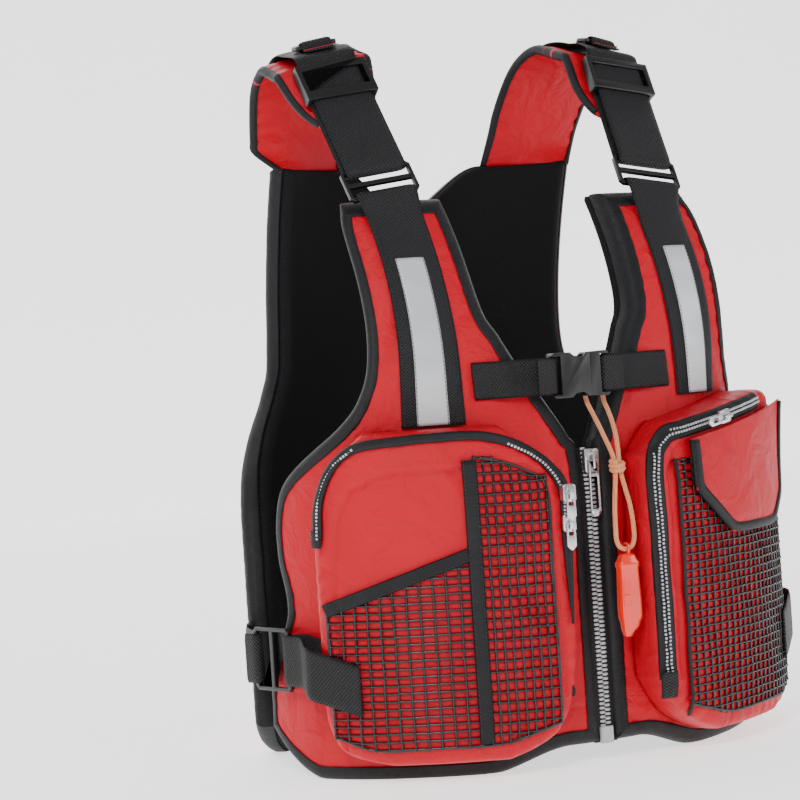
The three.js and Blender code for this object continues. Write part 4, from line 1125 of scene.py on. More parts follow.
def back_hem(b):
    return 30 * np.clip((abs(b) - 180) / 60, 0, 1) ** 1.5


def back_top(b):
    return 470 - 40 * (1 - ease(abs(b) / 70))


def back_place(u, v):
    b = (2 * u - 1) * back_edge(v * 470)
    low = back_hem((2 * u - 1) * 240)
    return b, low + v * (back_top(b) - low)


class BackTray(Tray):
    """The same tray, laid out from the spine to both sides."""

    @staticmethod
    def place(edges, hem, top, levels, u, v):
        return back_place(u, v)


def round_back(s):
    """Distance from the spine to the distance round the vest."""
    return np.where(s >= 0, HALF_GIRTH - s, -HALF_GIRTH - s)


real_torso = torso


def torso_from_spine(b, z, d):
    return real_torso(round_back(np.asarray(b, float)), z, d)


torso = torso_from_spine
seams = [([(0, 20), (0, 425)], 2.2, 2.2), ([(-150, 250), (150, 250)], 1.6, 2.2),
         ([(-95, 12), (-95, 246)], 1.4, 2.2), ([(95, 12), (95, 246)], 1.4, 2.2)]
back = BackTray("back_shell", 1, None, None, None, T - 1.2, T / 2, 6, RED, columns=110, rows=120,
                crown=3.2,
                seed=21, fold=1.8, pucker=1.9, grooves=seams)
back_band, back_lines = band_round("back_binding", back, 10, 0.35, BINDING)
seam_lines = []
for points, _, _ in seams:
    a, b = np.array(points, float)
    t = np.linspace(0, 1, 60)[:, None]
    spot = a + (b - a) * t
    for shift in (-3, 3):
        off = np.array([shift, 0]) if a[0] == b[0] else np.array([0, shift])
        place = spot + off
        level = back.out(place[:, 0], place[:, 1], 0.15)
        seam_lines.append((torso(place[:, 0], place[:, 1], level),
                           normal_at(place[:, 0], place[:, 1], level)))
print("back shell", len(back.piece.data.polygons), "faces")

# %% Back lining and foam
def back_lining():
    u, v = np.meshgrid(edge_rows(80), edge_rows(70))
    b, z = back_place(u, v)
    border = border_of(b, z)
    near, _ = from_border(b, z, border)
    d = 0.8 + drop_of(near, 6) - 0.5 * folds(b, z, 41, 0.1, 0.6) * ease(near / 20)
    points = [torso(b, z, d).reshape(-1, 3), torso(border[:, 0], border[:, 1], T / 2 - 0.3)]
    ring, start = border_ring(*b.shape), b.size
    count = len(ring)
    faces = grid_faces(*b.shape)
    faces += [[ring[i], start + i, start + (i + 1) % count,
               ring[(i + 1) % count]] for i in range(count)]
    uv = np.vstack([np.stack([b, z], -1).reshape(-1, 2), border])
    piece = make_mesh("back_lining_cloth", np.vstack(points), faces, uv, LINING)
    face_towards(piece, np.array([0.0, SHIFT, 200.0]))
    return thicken(piece, 0.9)


def half_back_place(edges, hem, top, levels, u, v):
    b = 16 + u * (back_edge(v * 470) - 22)
    low = back_hem(b) + 7
    return b, low + v * (back_top(b) - 7 - low)


lining = back_lining()
regular_place = Tray.place
Tray.place = staticmethod(half_back_place)
foams = [foam_slab(f"back_foam_slab_{name}", side, None, None, None, 0) for name, side in SIDES]
Tray.place = staticmethod(regular_place)
torso = real_torso
for piece, nodes, slot, fill in ((back.piece, ["back_shell_right", "back_shell_left"], "red_cloth",
                                  0.7),
                                 (lining, ["back_lining_right", "back_lining_left"], "lining", 0.5)):
    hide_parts(*nodes)
for (name, side), foam in zip(SIDES, foams):
    settle(foam, f"{name}_half", f"back_foam_{name}", "foam")
back_stitches = run_tree(line_mesh("back_stitches", back_lines + seam_lines), ROW, Item=STITCH,
                         Spacing=3 * MM, Finish=BLACK_THREAD)
for piece in (back.piece, lining, back_band, back_stitches):
    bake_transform(piece)
print("back ready")

# %% [markdown]
# ## Webbing straps
# A strap is a row of stations. Each station is a line across the strap, so a run can follow
# the curved form, stand flat in a buckle, or fold round a bar. Smooth curves join the
# stations, and the section has thick woven edges.

# %% Strap from stations
def strap_skin(stations, columns=15, steps=6):
    u = np.linspace(-1, 1, columns)
    rows = np.array([station(u) for station in stations])
    lines = np.stack([smooth_line(rows[:, k], steps) for k in range(columns)], 1)
    return u, lines


def strap(name, stations, half, thickness=1.9, finish=None, columns=15, steps=6):
    u, lines = strap_skin(stations, columns, steps)
    normal = unit(np.cross(np.gradient(lines, axis=1), np.gradient(lines, axis=0)))
    lift = (thickness / 2) * (1 - abs(u) ** 7) ** 0.5
    lift = lift[None, :, None]
    rows, count = lines.shape[0], columns
    along = run_lengths(lines[:, count // 2])
    uv = np.stack(np.broadcast_arrays(u[None, :] * half, along[:, None]), -1).reshape(-1, 2)
    points = np.vstack([(lines + normal * lift).reshape(-1, 3), (lines - normal * lift).reshape(-1, 3)])
    front, n = grid_faces(rows, count), rows * count
    faces = front + [[n + k for k in f[::-1]] for f in front]
    for start, turn in ((0, 1), ((rows - 1) * count, -1)):
        faces += [[start + k, n + start + k, n + start + k + 1,
                   start + k + 1][::turn] for k in range(count - 1)]
    piece = make_mesh(name, points, faces, np.vstack([uv, uv]), finish or WEBBING)
    shape = bmesh.new()
    shape.from_mesh(piece.data)
    bmesh.ops.remove_doubles(shape, verts=shape.verts, dist=1e-5)
    bmesh.ops.recalc_face_normals(shape, faces=shape.faces)
    shape.to_mesh(piece.data)
    shape.free()
    print(name, len(piece.data.polygons), "faces,", round(float(along[-1])), "mm long")
    return piece


def frame_of(origin, over, along):
    """A place function of a fitting: x over, y along, z out, all in millimetres."""
    y = unit(np.asarray(along, float))
    x = np.asarray(over, float)
    x = unit(x - y * (x @ y))
    z = np.cross(x, y)

    def at(u, v, w):
        u, v, w = np.broadcast_arrays(*(np.asarray(k, float) for k in (u, v, w)))
        return origin + u[..., None] * x + v[..., None] * y + w[..., None] * z
    at.out, at.along = z, y
    return at


def round_bar(at, half, bar, start, end, count, turn=1, upright=False):
    """Stations that fold a strap round a bar."""
    made = []
    for angle in np.linspace(start, end, count + 1):
        reach, rise = bar + turn * RUN * math.sin(angle), RUN * math.cos(angle)
        made.append((lambda u, r=reach, w=rise: at(r, u * half, w)) if upright
                    else (lambda u, r=reach, w=rise: at(u * half, r, w)))
    return made


RUN = 3.9                            # from the plane of a bar to the middle of a strap on it
TAPE_TOP = 386
HALF_WEB, HALF_TAPE, HALF_CHEST, HALF_SIDE = 25, 12.5, 14, 19    # half widths of the straps
SEWN = 28                            # middle of a strap that is sewn on the face of a panel
SHOULDER_LINE, BACK_LINE = 120, 112  # from the middle of the front, and from the spine
CHEST_HEIGHT = 291


def on_form(side, line, half, z, d):
    """A station across the vest at one height."""
    return lambda u: torso(side * line + u * half, z, d)

# %% [markdown]
# ## Shoulders
# The webbing on each front panel rises to a moulded loop. The shoulder strap starts under
# its adjuster, folds round the loop, runs back over itself and goes over the shoulder on a
# padded sleeve, down to a seam on the back.

# %% Shoulder webbing and straps
def shoulder_frame(side):
    tilt = math.radians(12)
    over = np.array([math.cos(tilt), 0, -side * math.sin(tilt)])
    return frame_of(torso(side * SHOULDER_LINE, 446, T + 8), over, (side * 9, 52.5, 85)), over


def crown_frame(side, at, over):
    points = [at(0, 102, RUN), at(0, 122, RUN)]
    points += [np.array([side * x, y + SHIFT, z]) for x, y, z in
               ((128, 8, 557), (125, 38, 561), (121, 68, 548), (115.5, 89, 520), (111.5, 99, 496))]
    points.append(torso(side * (HALF_GIRTH - BACK_LINE), 475, 28))
    line = smooth_line(points, 40)
    tangent = np.gradient(line, axis=0)

    def crown(t):
        k = t * (len(line) - 1)
        low = min(int(k), len(line) - 2)
        share = k - low
        return frame_of(line[low] * (1 - share) + line[low + 1] * share, over,
                        tangent[low] * (1 - share) + tangent[low + 1] * share)
    return crown


shoulders = {}
for name, side in SIDES:
    half, slot = f"{name}_half", "webbing"
    at, over = shoulder_frame(side)
    crown = crown_frame(side, at, over)
    shoulders[name] = (at, crown)
    foot = 260.1 if side < 0 else 269.4
    flat = [on_form(side, SHOULDER_LINE, HALF_WEB, z, SEWN) for z in np.linspace(foot, 404,
        8)] + [on_form(side, SHOULDER_LINE, HALF_WEB, 419, 30.8)]
    webbing = strap(f"panel_web_{name}", flat + round_bar(at, HALF_WEB, -12.2, 0, 0.7 * math.pi, 5),
                    HALF_WEB)
    settle(webbing, half, f"panel_webbing_{name}", slot)
    run = [(lambda u, y=y, w=w: at(u * HALF_WEB, y, w * RUN)) for y, w in
           ((98, -1), (75, -1), (45, -1))]
    run += round_bar(at, HALF_WEB, 12.2, -math.pi, -2 * math.pi, 6, turn=-1)
    run += [(lambda u, y=y: at(u * HALF_WEB, y, RUN)) for y in (45, 82, 114)]
    run += [(lambda u, f=crown(t): f(u * HALF_WEB, 0, 0)) for t in (.14, .22, .3, .38, .46, .54, .62,
        .7, .78, .86, .92)]
    run += [(lambda u, z=z: torso(side * (HALF_GIRTH - BACK_LINE) - u * HALF_WEB, z,
                                  SEWN)) for z in (475, 450, 425, 402, 380)]
    over_strap = strap(f"shoulder_web_{name}", run, HALF_WEB)
    tab_at = crown(0.235)
    arch = [(9.4, 1.9), (5, 2.0)] + [(3.8 * math.cos(a),
                                      4.7 + 3.8 * math.sin(a)) for a in np.linspace(0.1, 2.6, 9)] \
        + [(-5, 2.4), (-11.5, 1.9)]
    tab = strap(f"ring_tab_{name}", [(lambda u, v=v, w=w: tab_at(u * HALF_TAPE, v, w)) for v,
                                     w in arch], 12.5, 1.7)
    both = joined(f"shoulder_web_{name}", over_strap, tab)
    settle(both, half, f"shoulder_strap_{name}", slot)
    lines = [(tab_at(np.linspace(-11.5, 11.5, 30), v, 3.1), tab_at.out) for v in (7.6, -7.6, -10)]
    stitch(f"tab_stitches_{name}", lines, RED_THREAD, half, 2.4)
    tape = strap(f"reflective_{name}", [on_form(side, SHOULDER_LINE, HALF_TAPE, z,
                                                29.5) for z in np.linspace(foot + 1, TAPE_TOP, 14)],
                 12.5, 0.8, REFLECTIVE, steps=4)
    settle(tape, half, f"reflective_tape_{name}", "reflective_tape")
    edges = [(torso(side * SHOULDER_LINE + s, np.linspace(foot + 2, TAPE_TOP, 60), 29.95),
              normal_at(side * SHOULDER_LINE + s, np.linspace(foot + 2, TAPE_TOP, 60), 29.0))
             for s in (-11.6, 11.6)]
    edges += [(torso(side * SHOULDER_LINE + s, np.linspace(foot + 2, 415, 60), 29.0),
               normal_at(side * SHOULDER_LINE + s, np.linspace(foot + 2, 415, 60), 29.0))
              for s in (-22.5, 22.5)]
    stitch(f"web_stitches_{name}", edges, BLACK_THREAD, half, 3.0)

# %% [markdown]
# The sleeve is a padded tube with a flattened section. Its cloth puckers where the edge
# binding holds it, and the binding is the same section again, a little larger, at both edges.

# %% Shoulder pads
def pad_sections(at, crown):
    low, near = 11.4, 9.1
    made = [(at, y, size, -low) for y, size in ((63, 0.40), (68, 0.58), (75, 0.72), (91, 0.88))]
    for i, t in enumerate(np.arange(0.16, 0.87, 0.05)):
        depth = 15.3 + (near - 15.3) * float(ease((i / 2 + 0.4) / 3))
        made.append((crown(t), 0, 1.0, -depth))
    return made


def shoulder_pad(name, side, at, crown):
    around, steps = 56, 5
    angle = np.linspace(0, 2 * np.pi, around, endpoint=False)
    c, s = np.cos(angle), np.sin(angle)
    flat = np.sign(c) * abs(c) ** 0.62
    deep = np.sign(s) * abs(s) ** 0.8
    rows = [f(flat * 40 * size, y, depth + deep * 5.6 * (0.5 + 0.5 * size)) for f, y, size,
            depth in pad_sections(at, crown)]
    seat = np.sign(c) * abs(c) ** 0.62 * 40
    rows.append(torso(side * (HALF_GIRTH - 112) - seat, 468.0, T / 2 + deep * 5.0))
    rows = np.array(rows)
    lines = np.stack([smooth_line(rows[:, k], steps) for k in range(around)], 1)
    middle = lines.mean(1, keepdims=True)
    along = run_lengths(lines.mean(1))
    a, b = np.broadcast_arrays(angle[None, :] * 14.0, along[:, None])
    edge = abs(flat)[None, :]
    swell = 0.9 * soft_noise(a, b, 26, 30, 70 + side) + 0.8 * np.sin(2 * np.pi * b / 14 + 3 * soft_noise(a, b, 60, 60, 75)) \
        * np.clip(edge * 2 - 0.9, 0, 1)
    normal = unit(lines - middle)
    out = np.cross(np.roll(lines, -1, 1) - np.roll(lines, 1, 1), np.gradient(lines, axis=0))
    out = unit(out)
    out *= np.sign((out * normal).sum(-1, keepdims=True))
    skin = lines + out * (swell * 0.8)[..., None]
    uv = np.stack([a, b], -1)
    faces = [[i * around + k, i * around + (k + 1) % around, (i + 1) * around + (k + 1) % around,
              (i + 1) * around + k]
             for i in range(len(skin) - 1) for k in range(around)]
    faces += [list(range(around)), [(len(skin) - 1) * around + k for k in reversed(range(around))]]
    pad = face_out(make_mesh(f"pad_{name}", skin, faces, uv, RED))
    bands = []
    for keep in ((flat > 0.86), (flat < -0.86)):
        chosen = np.flatnonzero(keep)
        if chosen[0] == 0 and chosen[-1] == around - 1:
            split = int(np.argmax(np.diff(chosen) > 1)) + 1
            chosen = np.concatenate([chosen[split:], chosen[:split]])
        tape = (lines + out * 0.9)[4:, chosen]
        grid = make_mesh(f"pad_edge_{name}", tape, grid_faces(tape.shape[0], len(chosen)),
                         uv[4:, chosen], BINDING)
        face_towards(grid, tape.mean((0, 1)) + 400 * out[len(out) // 2, chosen[len(chosen) // 2]])
        bands.append(thicken(grid, 0.8))
    return pad, joined(f"pad_edges_{name}", *bands)


for name, side in SIDES:
    pad, edges = shoulder_pad(name, side, *shoulders[name])
    settle(pad, f"{name}_half", f"shoulder_pad_{name}", "red_cloth")
    settle(edges, f"{name}_half", None, "binding")
print("shoulders ready")

# %% [markdown]
# ## Chest strap and side straps
# Both are the same webbing, narrower: a sewn run on the panel, a fold round the bar of the
# buckle or of the ladder lock, and a loose tail.

# %% Chest and side straps
buckle_at = frame_of(torso(0, CHEST_HEIGHT, T + 12) + np.array([-4.0, 0, 0]), (1, 0, 0), (0, 0, 1))
for name, side in SIDES:
    flat = [(lambda u, s=s, d=d: torso(side * s, CHEST_HEIGHT + u * HALF_CHEST, d)) for s, d in
            ((86, SEWN), (76, SEWN), (64, 30.3), (50, 31.3))]
    flat.append(lambda u: buckle_at(side * 30, u * HALF_CHEST, -RUN))
    bend = [(lambda u, a=a: buckle_at(side * (24 - RUN * math.sin(a)), u * HALF_CHEST,
                                      -RUN * math.cos(a)))
            for a in np.linspace(0, math.pi, 7)]
    tail = [lambda u: buckle_at(side * 30, u * HALF_CHEST, RUN + 0.2),
            lambda u: buckle_at(side * 37, u * HALF_CHEST, 4.3)]
    chest = strap(f"chest_web_{name}", flat + bend + tail, HALF_CHEST)
    settle(chest, f"{name}_half", f"chest_strap_{name}", "webbing")


def strap_height(s):
    return 91 - 0.4 * max(0.0, 228 - s)


for name, side in SIDES:
    half = f"{name}_half"
    lock = frame_of(torso(side * 259, 91, 35.5), torso(side * 259 + 1, 91,
                                                       35.5) - torso(side * 259 - 1, 91, 35.5),
                                                       (0, 0, 1))
    face = (56 if side < 0 else 61) + 3.7
    back_run = [(lambda u, s=s, d=d: torso(side * s, 91 + u * HALF_SIDE, d)) for s, d in
                ((376, 28), (360, 28), (345, 28), (330, 28.4), (312, 29.2), (297, 30))]
    back_run.append(lambda u: lock(side * 25, u * HALF_SIDE, -RUN))
    back_run += [(lambda u, a=a: lock(side * (20 - RUN * math.sin(a)), u * HALF_SIDE,
                                      -RUN * math.cos(a)))
                 for a in np.linspace(0, math.pi, 7)]
    back_run.append(lambda u: lock(side * 29, u * HALF_SIDE, RUN))
    settle(strap(f"side_web_back_{name}", back_run, HALF_SIDE), half, f"side_strap_back_{name}",
           "webbing")
    front_run = [(lambda u, s=s, d=d: torso(side * s, strap_height(s) + u * HALF_SIDE, d)) for s,
                 d in ((212, 28), (222, 28), (230, 29.6))]
    front_run += [(lambda u, a=a: lock(side * (-20 + RUN * math.sin(a)), u * HALF_SIDE,
                                       -RUN * math.cos(a)))
                  for a in np.linspace(0, math.pi, 7)]
    front_run += [(lambda u, s=s, d=d: torso(side * s, strap_height(s) + u * HALF_SIDE, d)) for s, d in
                  ((226, 43), (219, 51), (212, face), (202, face), (190, face), (178, face))]
    settle(strap(f"side_web_front_{name}", front_run, HALF_SIDE), half, f"side_strap_front_{name}",
           "webbing")
print("straps ready")

# %% [markdown]
# ## Pockets
# Both pockets are boxy cloth trays on the front panels. A hidden zip follows the arch of the
# right one; its cover folds back only near its two ends, where the teeth show. The left one
# has an open chain round its corner.

# %% Pocket trays
pocket_outer = [(14, 160), (22, 190), (38, 202), (70, 206), (190, 206), (215, 202), (238, 193),
                (258, 172)]
right_inner = edge_through([(14, 83), (22, 63), (34, 47), (62, 36), (110, 31), (212, 31), (226, 39),
                            (240, 51), (258, 75)])
left_inner = edge_through([(14, 83), (22, 63), (34, 45), (58, 29), (76, 26), (218, 26), (234, 32),
                           (248, 44), (258, 56)])


def left_top(s):
    return 252 + 0.18 * (np.clip(s, 60, 150) - 60)


seam_right = [(192, 28), (192, 150), (189, 196), (178, 219), (152, 229), (60, 229), (48, 215),
              (46, 150), (44, 60)]
pocket_r = Tray("pocket_cloth_right", -1, (right_inner, edge_through(pocket_outer)),
                lambda s: 14 + 0 * s,
                lambda s: 258 + 0 * s, face=54.4, base=27.4, radius=7, finish=RED, columns=84,
                rows=110, crown=2.4,
                seed=51, fold=1.9, pucker=1.5, slant=-0.5, grooves=[(seam_right, 2.0, 1.7)],
                levels=(14, 258), ceiling=2.8)
seam_left = [(44, 60), (44, 214), (56, 233), (110, 240), (150, 246), (194, 244)]
pocket_l = Tray("pocket_cloth_left", 1, (left_inner, edge_through(pocket_outer)), lambda s: 14 + 0 * s,
                left_top, face=59.4, base=27.4, radius=7, finish=RED, columns=84, rows=110, crown=2.4,
                seed=57, fold=1.9, pucker=1.5, slant=0.5, grooves=[(seam_left, 1.8, 1.7)],
                levels=(14, 258), ceiling=2.3)
settle(pocket_r.piece, "right_half", "pocket_right", "red_cloth")
settle(pocket_l.piece, "left_half", "pocket_left", "red_cloth")

# %% Runs on a pocket
def on_tray(tray, line, half, gap, steps=6, swell=0.0):
    """Stations along a pattern line that lie on the cloth; half may be one width or one each."""
    path = smooth_line(np.array(line, float), steps)
    run = unit(np.gradient(path, axis=0))
    cross = np.column_stack([-run[:, 1], run[:, 0]])
    halves = np.interp(np.linspace(0, 1, len(path)), np.linspace(0, 1, np.size(half)),
                       np.atleast_1d(half))
    made = []
    for p, c, h in zip(path, cross, halves):
        def station(u, p=p, c=c, h=h):
            s, z = p[0] + c[0] * u * h, p[1] + c[1] * u * h
            lift = tray.out(s, z, gap).max() * 0.5 + tray.out(s, z, gap) * 0.5
            return torso(tray.side * s, z, lift + swell * (1 - u ** 2))
        made.append(station)
    return made


def row_on(tray, line, shift, gap, steps=8):
    """A line for a row of stitches or teeth, a little beside a pattern line."""
    path = smooth_line(np.array(line, float), steps)
    run = unit(np.gradient(path, axis=0))
    s, z = path[:, 0] - run[:, 1] * shift, path[:, 1] + run[:, 0] * shift
    d = tray.out(s, z, gap)
    return torso(tray.side * s, z, d), normal_at(tray.side * s, z, d)


SMALL_TOOTH = small_item("small_tooth_item", (0.9, 1.1, 0.9), power=0.5, rows=4, around=6)
right_zip = [(201, 184), (199, 213), (190, 236), (176, 248), (142, 252), (116, 253), (90, 252),
             (70, 246),
             (54, 236), (43, 224), (36.5, 208), (36.5, 180), (36.5, 145), (36.5, 110)]
wide = [3.6] * 9 + [4.2, 4.5, 4.2, 2.6, 0.6]
cover = strap("pocket_zip_cover", on_tray(pocket_r, right_zip, wide, 1.7, 4, swell=1.0), 4.5, 1.5,
              ZIP_TAPE, 9, 2)
settle(cover, "right_half", "pocket_zip_right", "zip_tape")
ends = [row_on(pocket_r, right_zip[:4], 0.4, 3.3), row_on(pocket_r, right_zip[7:12], 1.6, 3.3)]
stitch("pocket_zip_teeth_right", ends, TEETH, "right_half", 2.6, SMALL_TOOTH)
left_zip = [(31.5, 60), (31.5, 110), (31.5, 160), (31.5, 214), (36, 231), (47, 242), (62, 245),
            (90, 250),
            (120, 255.4), (150, 260.8)]
tape_left = strap("pocket_zip_tape", on_tray(pocket_l, left_zip, 6.5, 1.2, 5), 6.5, 1.1, ZIP_TAPE, 9, 2)
settle(tape_left, "left_half", "pocket_zip_left", "zip_tape")
chain = [row_on(pocket_l, left_zip, shift, 2.6) for shift in (-1.5, 1.5)]
stitch("pocket_zip_teeth_left", chain, TEETH, "left_half", 2.9, SMALL_TOOTH)
tabs = (("zip_end_right", pocket_r, [(202, 190), (202.5, 177)], "right_half"),
        ("zip_end_left", pocket_l, [(31.5, 66), (31.5, 46)], "left_half"))
for label, tray, line, body in tabs:
    settle(strap(label, on_tray(tray, line, 6.0 if tray.side > 0 else 4.0, 2.6, 3), 5, 1.8, WEBBING,
                 7, 2), body, None, "webbing")

# %% [markdown]
# ## Nets
# The nets are knotted squares of glossy yarn. A lattice of edges is laid on the cloth; the
# tree sweeps a round yarn along every edge and sets a small knot on every crossing.

# %% Net tree
def net_tree():
    tree, start, end = new_tree("knotted_net", (("Yarn", "NodeSocketFloat"),
                                                ("Knot", "NodeSocketFloat"),
                                                ("Finish", "NodeSocketMaterial")))
    curve = add_node(tree, "GeometryNodeMeshToCurve", Mesh=start.outputs["Geometry"])
    ring = add_node(tree, "GeometryNodeCurvePrimitiveCircle", Resolution=5,
                    Radius=start.outputs["Yarn"])
    yarn = add_node(tree, "GeometryNodeCurveToMesh", Curve=curve.outputs[0])
    tree.links.new(ring.outputs[0], yarn.inputs["Profile Curve"])
    yarn.inputs["Fill Caps"].default_value = True
    ball = add_node(tree, "GeometryNodeMeshIcoSphere", Radius=start.outputs["Knot"], Subdivisions=1)
    knots = add_node(tree, "GeometryNodeInstanceOnPoints", Points=start.outputs["Geometry"],
                     Instance=ball.outputs[0])
    real = add_node(tree, "GeometryNodeRealizeInstances", Geometry=knots.outputs[0])
    both = add_node(tree, "GeometryNodeJoinGeometry")
    tree.links.new(yarn.outputs[0], both.inputs[0])
    tree.links.new(real.outputs[0], both.inputs[0])
    done = add_node(tree, "GeometryNodeSetMaterial", Geometry=both.outputs[0],
                    Material=start.outputs["Finish"])
    tree.links.new(done.outputs[0], end.inputs[0])
    return tree


NET = net_tree()


def net_on(name, tray, columns, rows, foot, top, gap, seed, node, body):
    """columns are s values; rows is the cell height. Edges outside foot..top are left out."""
    columns = np.array(columns, float)
    heights = np.arange(min(foot(s) for s in columns), max(top(s) for s in columns) + rows, rows)
    s, z = np.meshgrid(columns, heights)
    wander = 0.55 * soft_noise(s, z, 9, 9, seed)
    s2, z2 = s + wander, z + 0.55 * soft_noise(s, z, 9, 9, seed + 2)
    low = np.array([[foot(a) for a in columns]])
    high = np.array([[top(a) for a in columns]])
    z2 = np.clip(z2, low, high)
    alive = (z > low - rows * 0.9) & (z < high + rows * 0.9)
    d = tray.out(s2, z2, gap) + 0.5 * abs(soft_noise(s, z, 60, 60, seed + 4))
    points = torso(tray.side * s2, z2, d)
    index = -np.ones(s.shape, int)
    index[alive] = np.arange(alive.sum())
    edges = []
    for i in range(s.shape[0]):
        for j in range(s.shape[1]):
            if index[i, j] < 0:
                continue
            if j + 1 < s.shape[1] and index[i, j + 1] >= 0:
                edges.append((index[i, j], index[i, j + 1]))
            if i + 1 < s.shape[0] and index[i + 1, j] >= 0:
                edges.append((index[i, j], index[i + 1, j]))
    mesh = bpy.data.meshes.new(name)
    mesh.from_pydata((points[alive] * MM).tolist(), [(int(a), int(b)) for a, b in edges], [])
    piece = bpy.data.objects.new(name, mesh)
    bpy.context.scene.collection.objects.link(piece)
    piece = run_tree(piece, NET, Yarn=0.95 * MM, Knot=1.55 * MM, Finish=YARN)
    print(name, len(piece.data.polygons), "faces")
    return settle(piece, body, node, "net")


def net_foot(s):
    return 27 + 12 * float(ease((90 - s) / 45)) + 10 * float(ease((s - 170) / 30))


def tall_top(s):
    return 236 - 16 * float(ease((86 - s) / 30))


def low_top(s):
    return 168 + (132 - 168) * (s - 102) / 97


tall = net_on("net_tall", pocket_r, np.linspace(48.5, 95, 9), 7.6, net_foot, tall_top, 1.5, 61, None,
              "right_half")
low = net_on("net_low", pocket_r, np.linspace(101, 197.5, 12), 5.9, net_foot, low_top, 1.5, 63, None,
             "right_half")
net_right = joined("net_cloth_right", tall, low)
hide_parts("pocket_net_right")


def left_net_top(s):
    return 222.0


net_on("net_cloth_left", pocket_l, np.linspace(50, 190, 22), 6.2, net_foot, left_net_top, 1.0, 67,
       "pocket_net_left", "left_half")

# %% Bands round the nets
bands = [("net_band_upright", pocket_r, [(98.5, 28), (98.5, 90), (98.5, 160), (98.5, 235)], 4.8),
         ("net_band_slant", pocket_r, [(102, 166.5), (135, 154.3), (168, 142), (199, 130.5)], 5.0),
         ("net_band_left", pocket_l, [(49, 30), (49, 110), (49, 190), (49, 223)], 1.6)]
for label, tray, line, half in bands:
    body = "right_half" if tray.side < 0 else "left_half"
    settle(strap(label, on_tray(tray, line, half, 2.5, 8), half, 1.3, BINDING, 9, 2), body, None,
           "binding")
    if half > 2:
        stitch(f"{label}_stitches", [row_on(tray, line, shift, 3.3) for shift in (-half + 1.2,
            half - 1.2)],
               BLACK_THREAD, body)
rims = [(pocket_r, [(48, net_foot(48)), (70, net_foot(70)), (90, net_foot(90)), (130, net_foot(130)),
                    (170, net_foot(170)), (198, net_foot(198))]),
        (pocket_r, [(48, 39), (47.6, 110), (47.6, 170), (50, 216), (60, 224), (76, 232), (96, 237)]),
        (pocket_r, [(198, 36), (198.4, 80), (198.4, 131)]),
        (pocket_l, [(50, net_foot(50)), (70, net_foot(70)), (90, net_foot(90)), (130, net_foot(130)),
                    (170, net_foot(170)), (190, net_foot(190))])]
for k, (tray, line) in enumerate(rims):
    line_points, _ = row_on(tray, line, 0, 1.2)
    settle(tube(f"net_hem_{k}", line_points, 1.0, BLACK_THREAD, 8),
           "right_half" if tray.side < 0 else "left_half", None, "net")
eye = pocket_r.out(38.0, 60.0, 0.6)
drain = strap("drain_mark", [(lambda u, z=z, w=w: torso(-(38 + u * 1.9 * w), z, eye)) for z, w in
                             ((56, 0.3), (57.5, 0.8), (60, 1.0), (62.5, 0.8), (64, 0.3))], 1.9, 1.6,
                             BINDING, 7, 3)
settle(drain, "right_half", None, "binding")

# %% [markdown]
# ## Flap
# A small cover hangs over the left net. It has its own hinge at its sewn top, a red face with
# soft dents and a bound edge on its three free sides.

# %% Pocket flap
def flap_top(s):
    return 237 + 0.18 * (s - 62)


def flap_foot(s):
    return 163 + np.maximum(0, 98 - s) + np.maximum(0, s - 162)


def flap():
    u, v = np.meshgrid(edge_rows(50), edge_rows(44))
    s = 62 + 124 * u
    low, high = flap_foot(s), flap_top(s)
    z = low + (high - low) * v
    border = border_of(s, z)
    near, _ = from_border(s, z, border)
    d = 66.5 + 0.9 * (1 - np.exp(-near / 12)) + 0.55 * folds(s, z, 81, 0.6,
        0.8) * ease(near / 16) + 0.8 * (1 - v) ** 2
    d = np.maximum(d, 66.3)
    cloth = make_mesh("flap_cloth", torso(s, z, d), grid_faces(*s.shape), np.stack([s, z], -1), RED)
    face_towards(cloth, torso(120.0, 200.0, 400.0))
    thicken(cloth, 1.6)
    rows = []
    for line in ([(62, 236), (62, 199)], [(62, 199), (98, 163)], [(98, 163), (162, 163)],
                 [(162, 163), (186, 187)], [(186, 187), (186, 258)]):
        a, b = np.array(line, float)
        rows.append(a + (b - a) * np.linspace(0, 1, 12)[:, None])
    path = np.vstack([rows[0]] + [r[1:] for r in rows[1:]])
    for _ in range(3):
        path[1:-1] = 0.5 * path[1:-1] + 0.25 * (path[:-2] + path[2:])
    run = unit(np.gradient(path, axis=0))
    inward = np.column_stack([-run[:, 1], run[:, 0]])
    section = [(6.2, 67.9), (3.4, 68.5), (0.4, 68.3), (-0.7, 67.1), (-0.7, 65.4), (0.4, 64.3),
               (5.4, 64.3)]
    grid = np.stack([torso(path[:, 0] + inward[:, 0] * t, path[:, 1] + inward[:, 1] * t,
                           level + 0 * path[:, 0]) for t, level in section], 1)
    edge = make_mesh("flap_binding", grid, grid_faces(*grid.shape[:2]),
                     np.stack(np.broadcast_arrays(np.arange(len(section))[None, :] * 2.0,
                                                  run_lengths(path)[:, None]), -1), BINDING)
    return cloth, face_out(thicken(edge, 0.6, 0.0))


flap_cloth, flap_edge = flap()
settle(flap_cloth, "pocket_flap", "pocket_flap", "red_cloth")
settle(flap_edge, "pocket_flap", None, "binding")
print("flap ready")

# %% [markdown]
# ## Centre zip
# A coarse moulded chain: big square teeth on black tape. Each half of the vest carries its
# own row, half a pitch apart, so the rows mesh where the zip is closed.

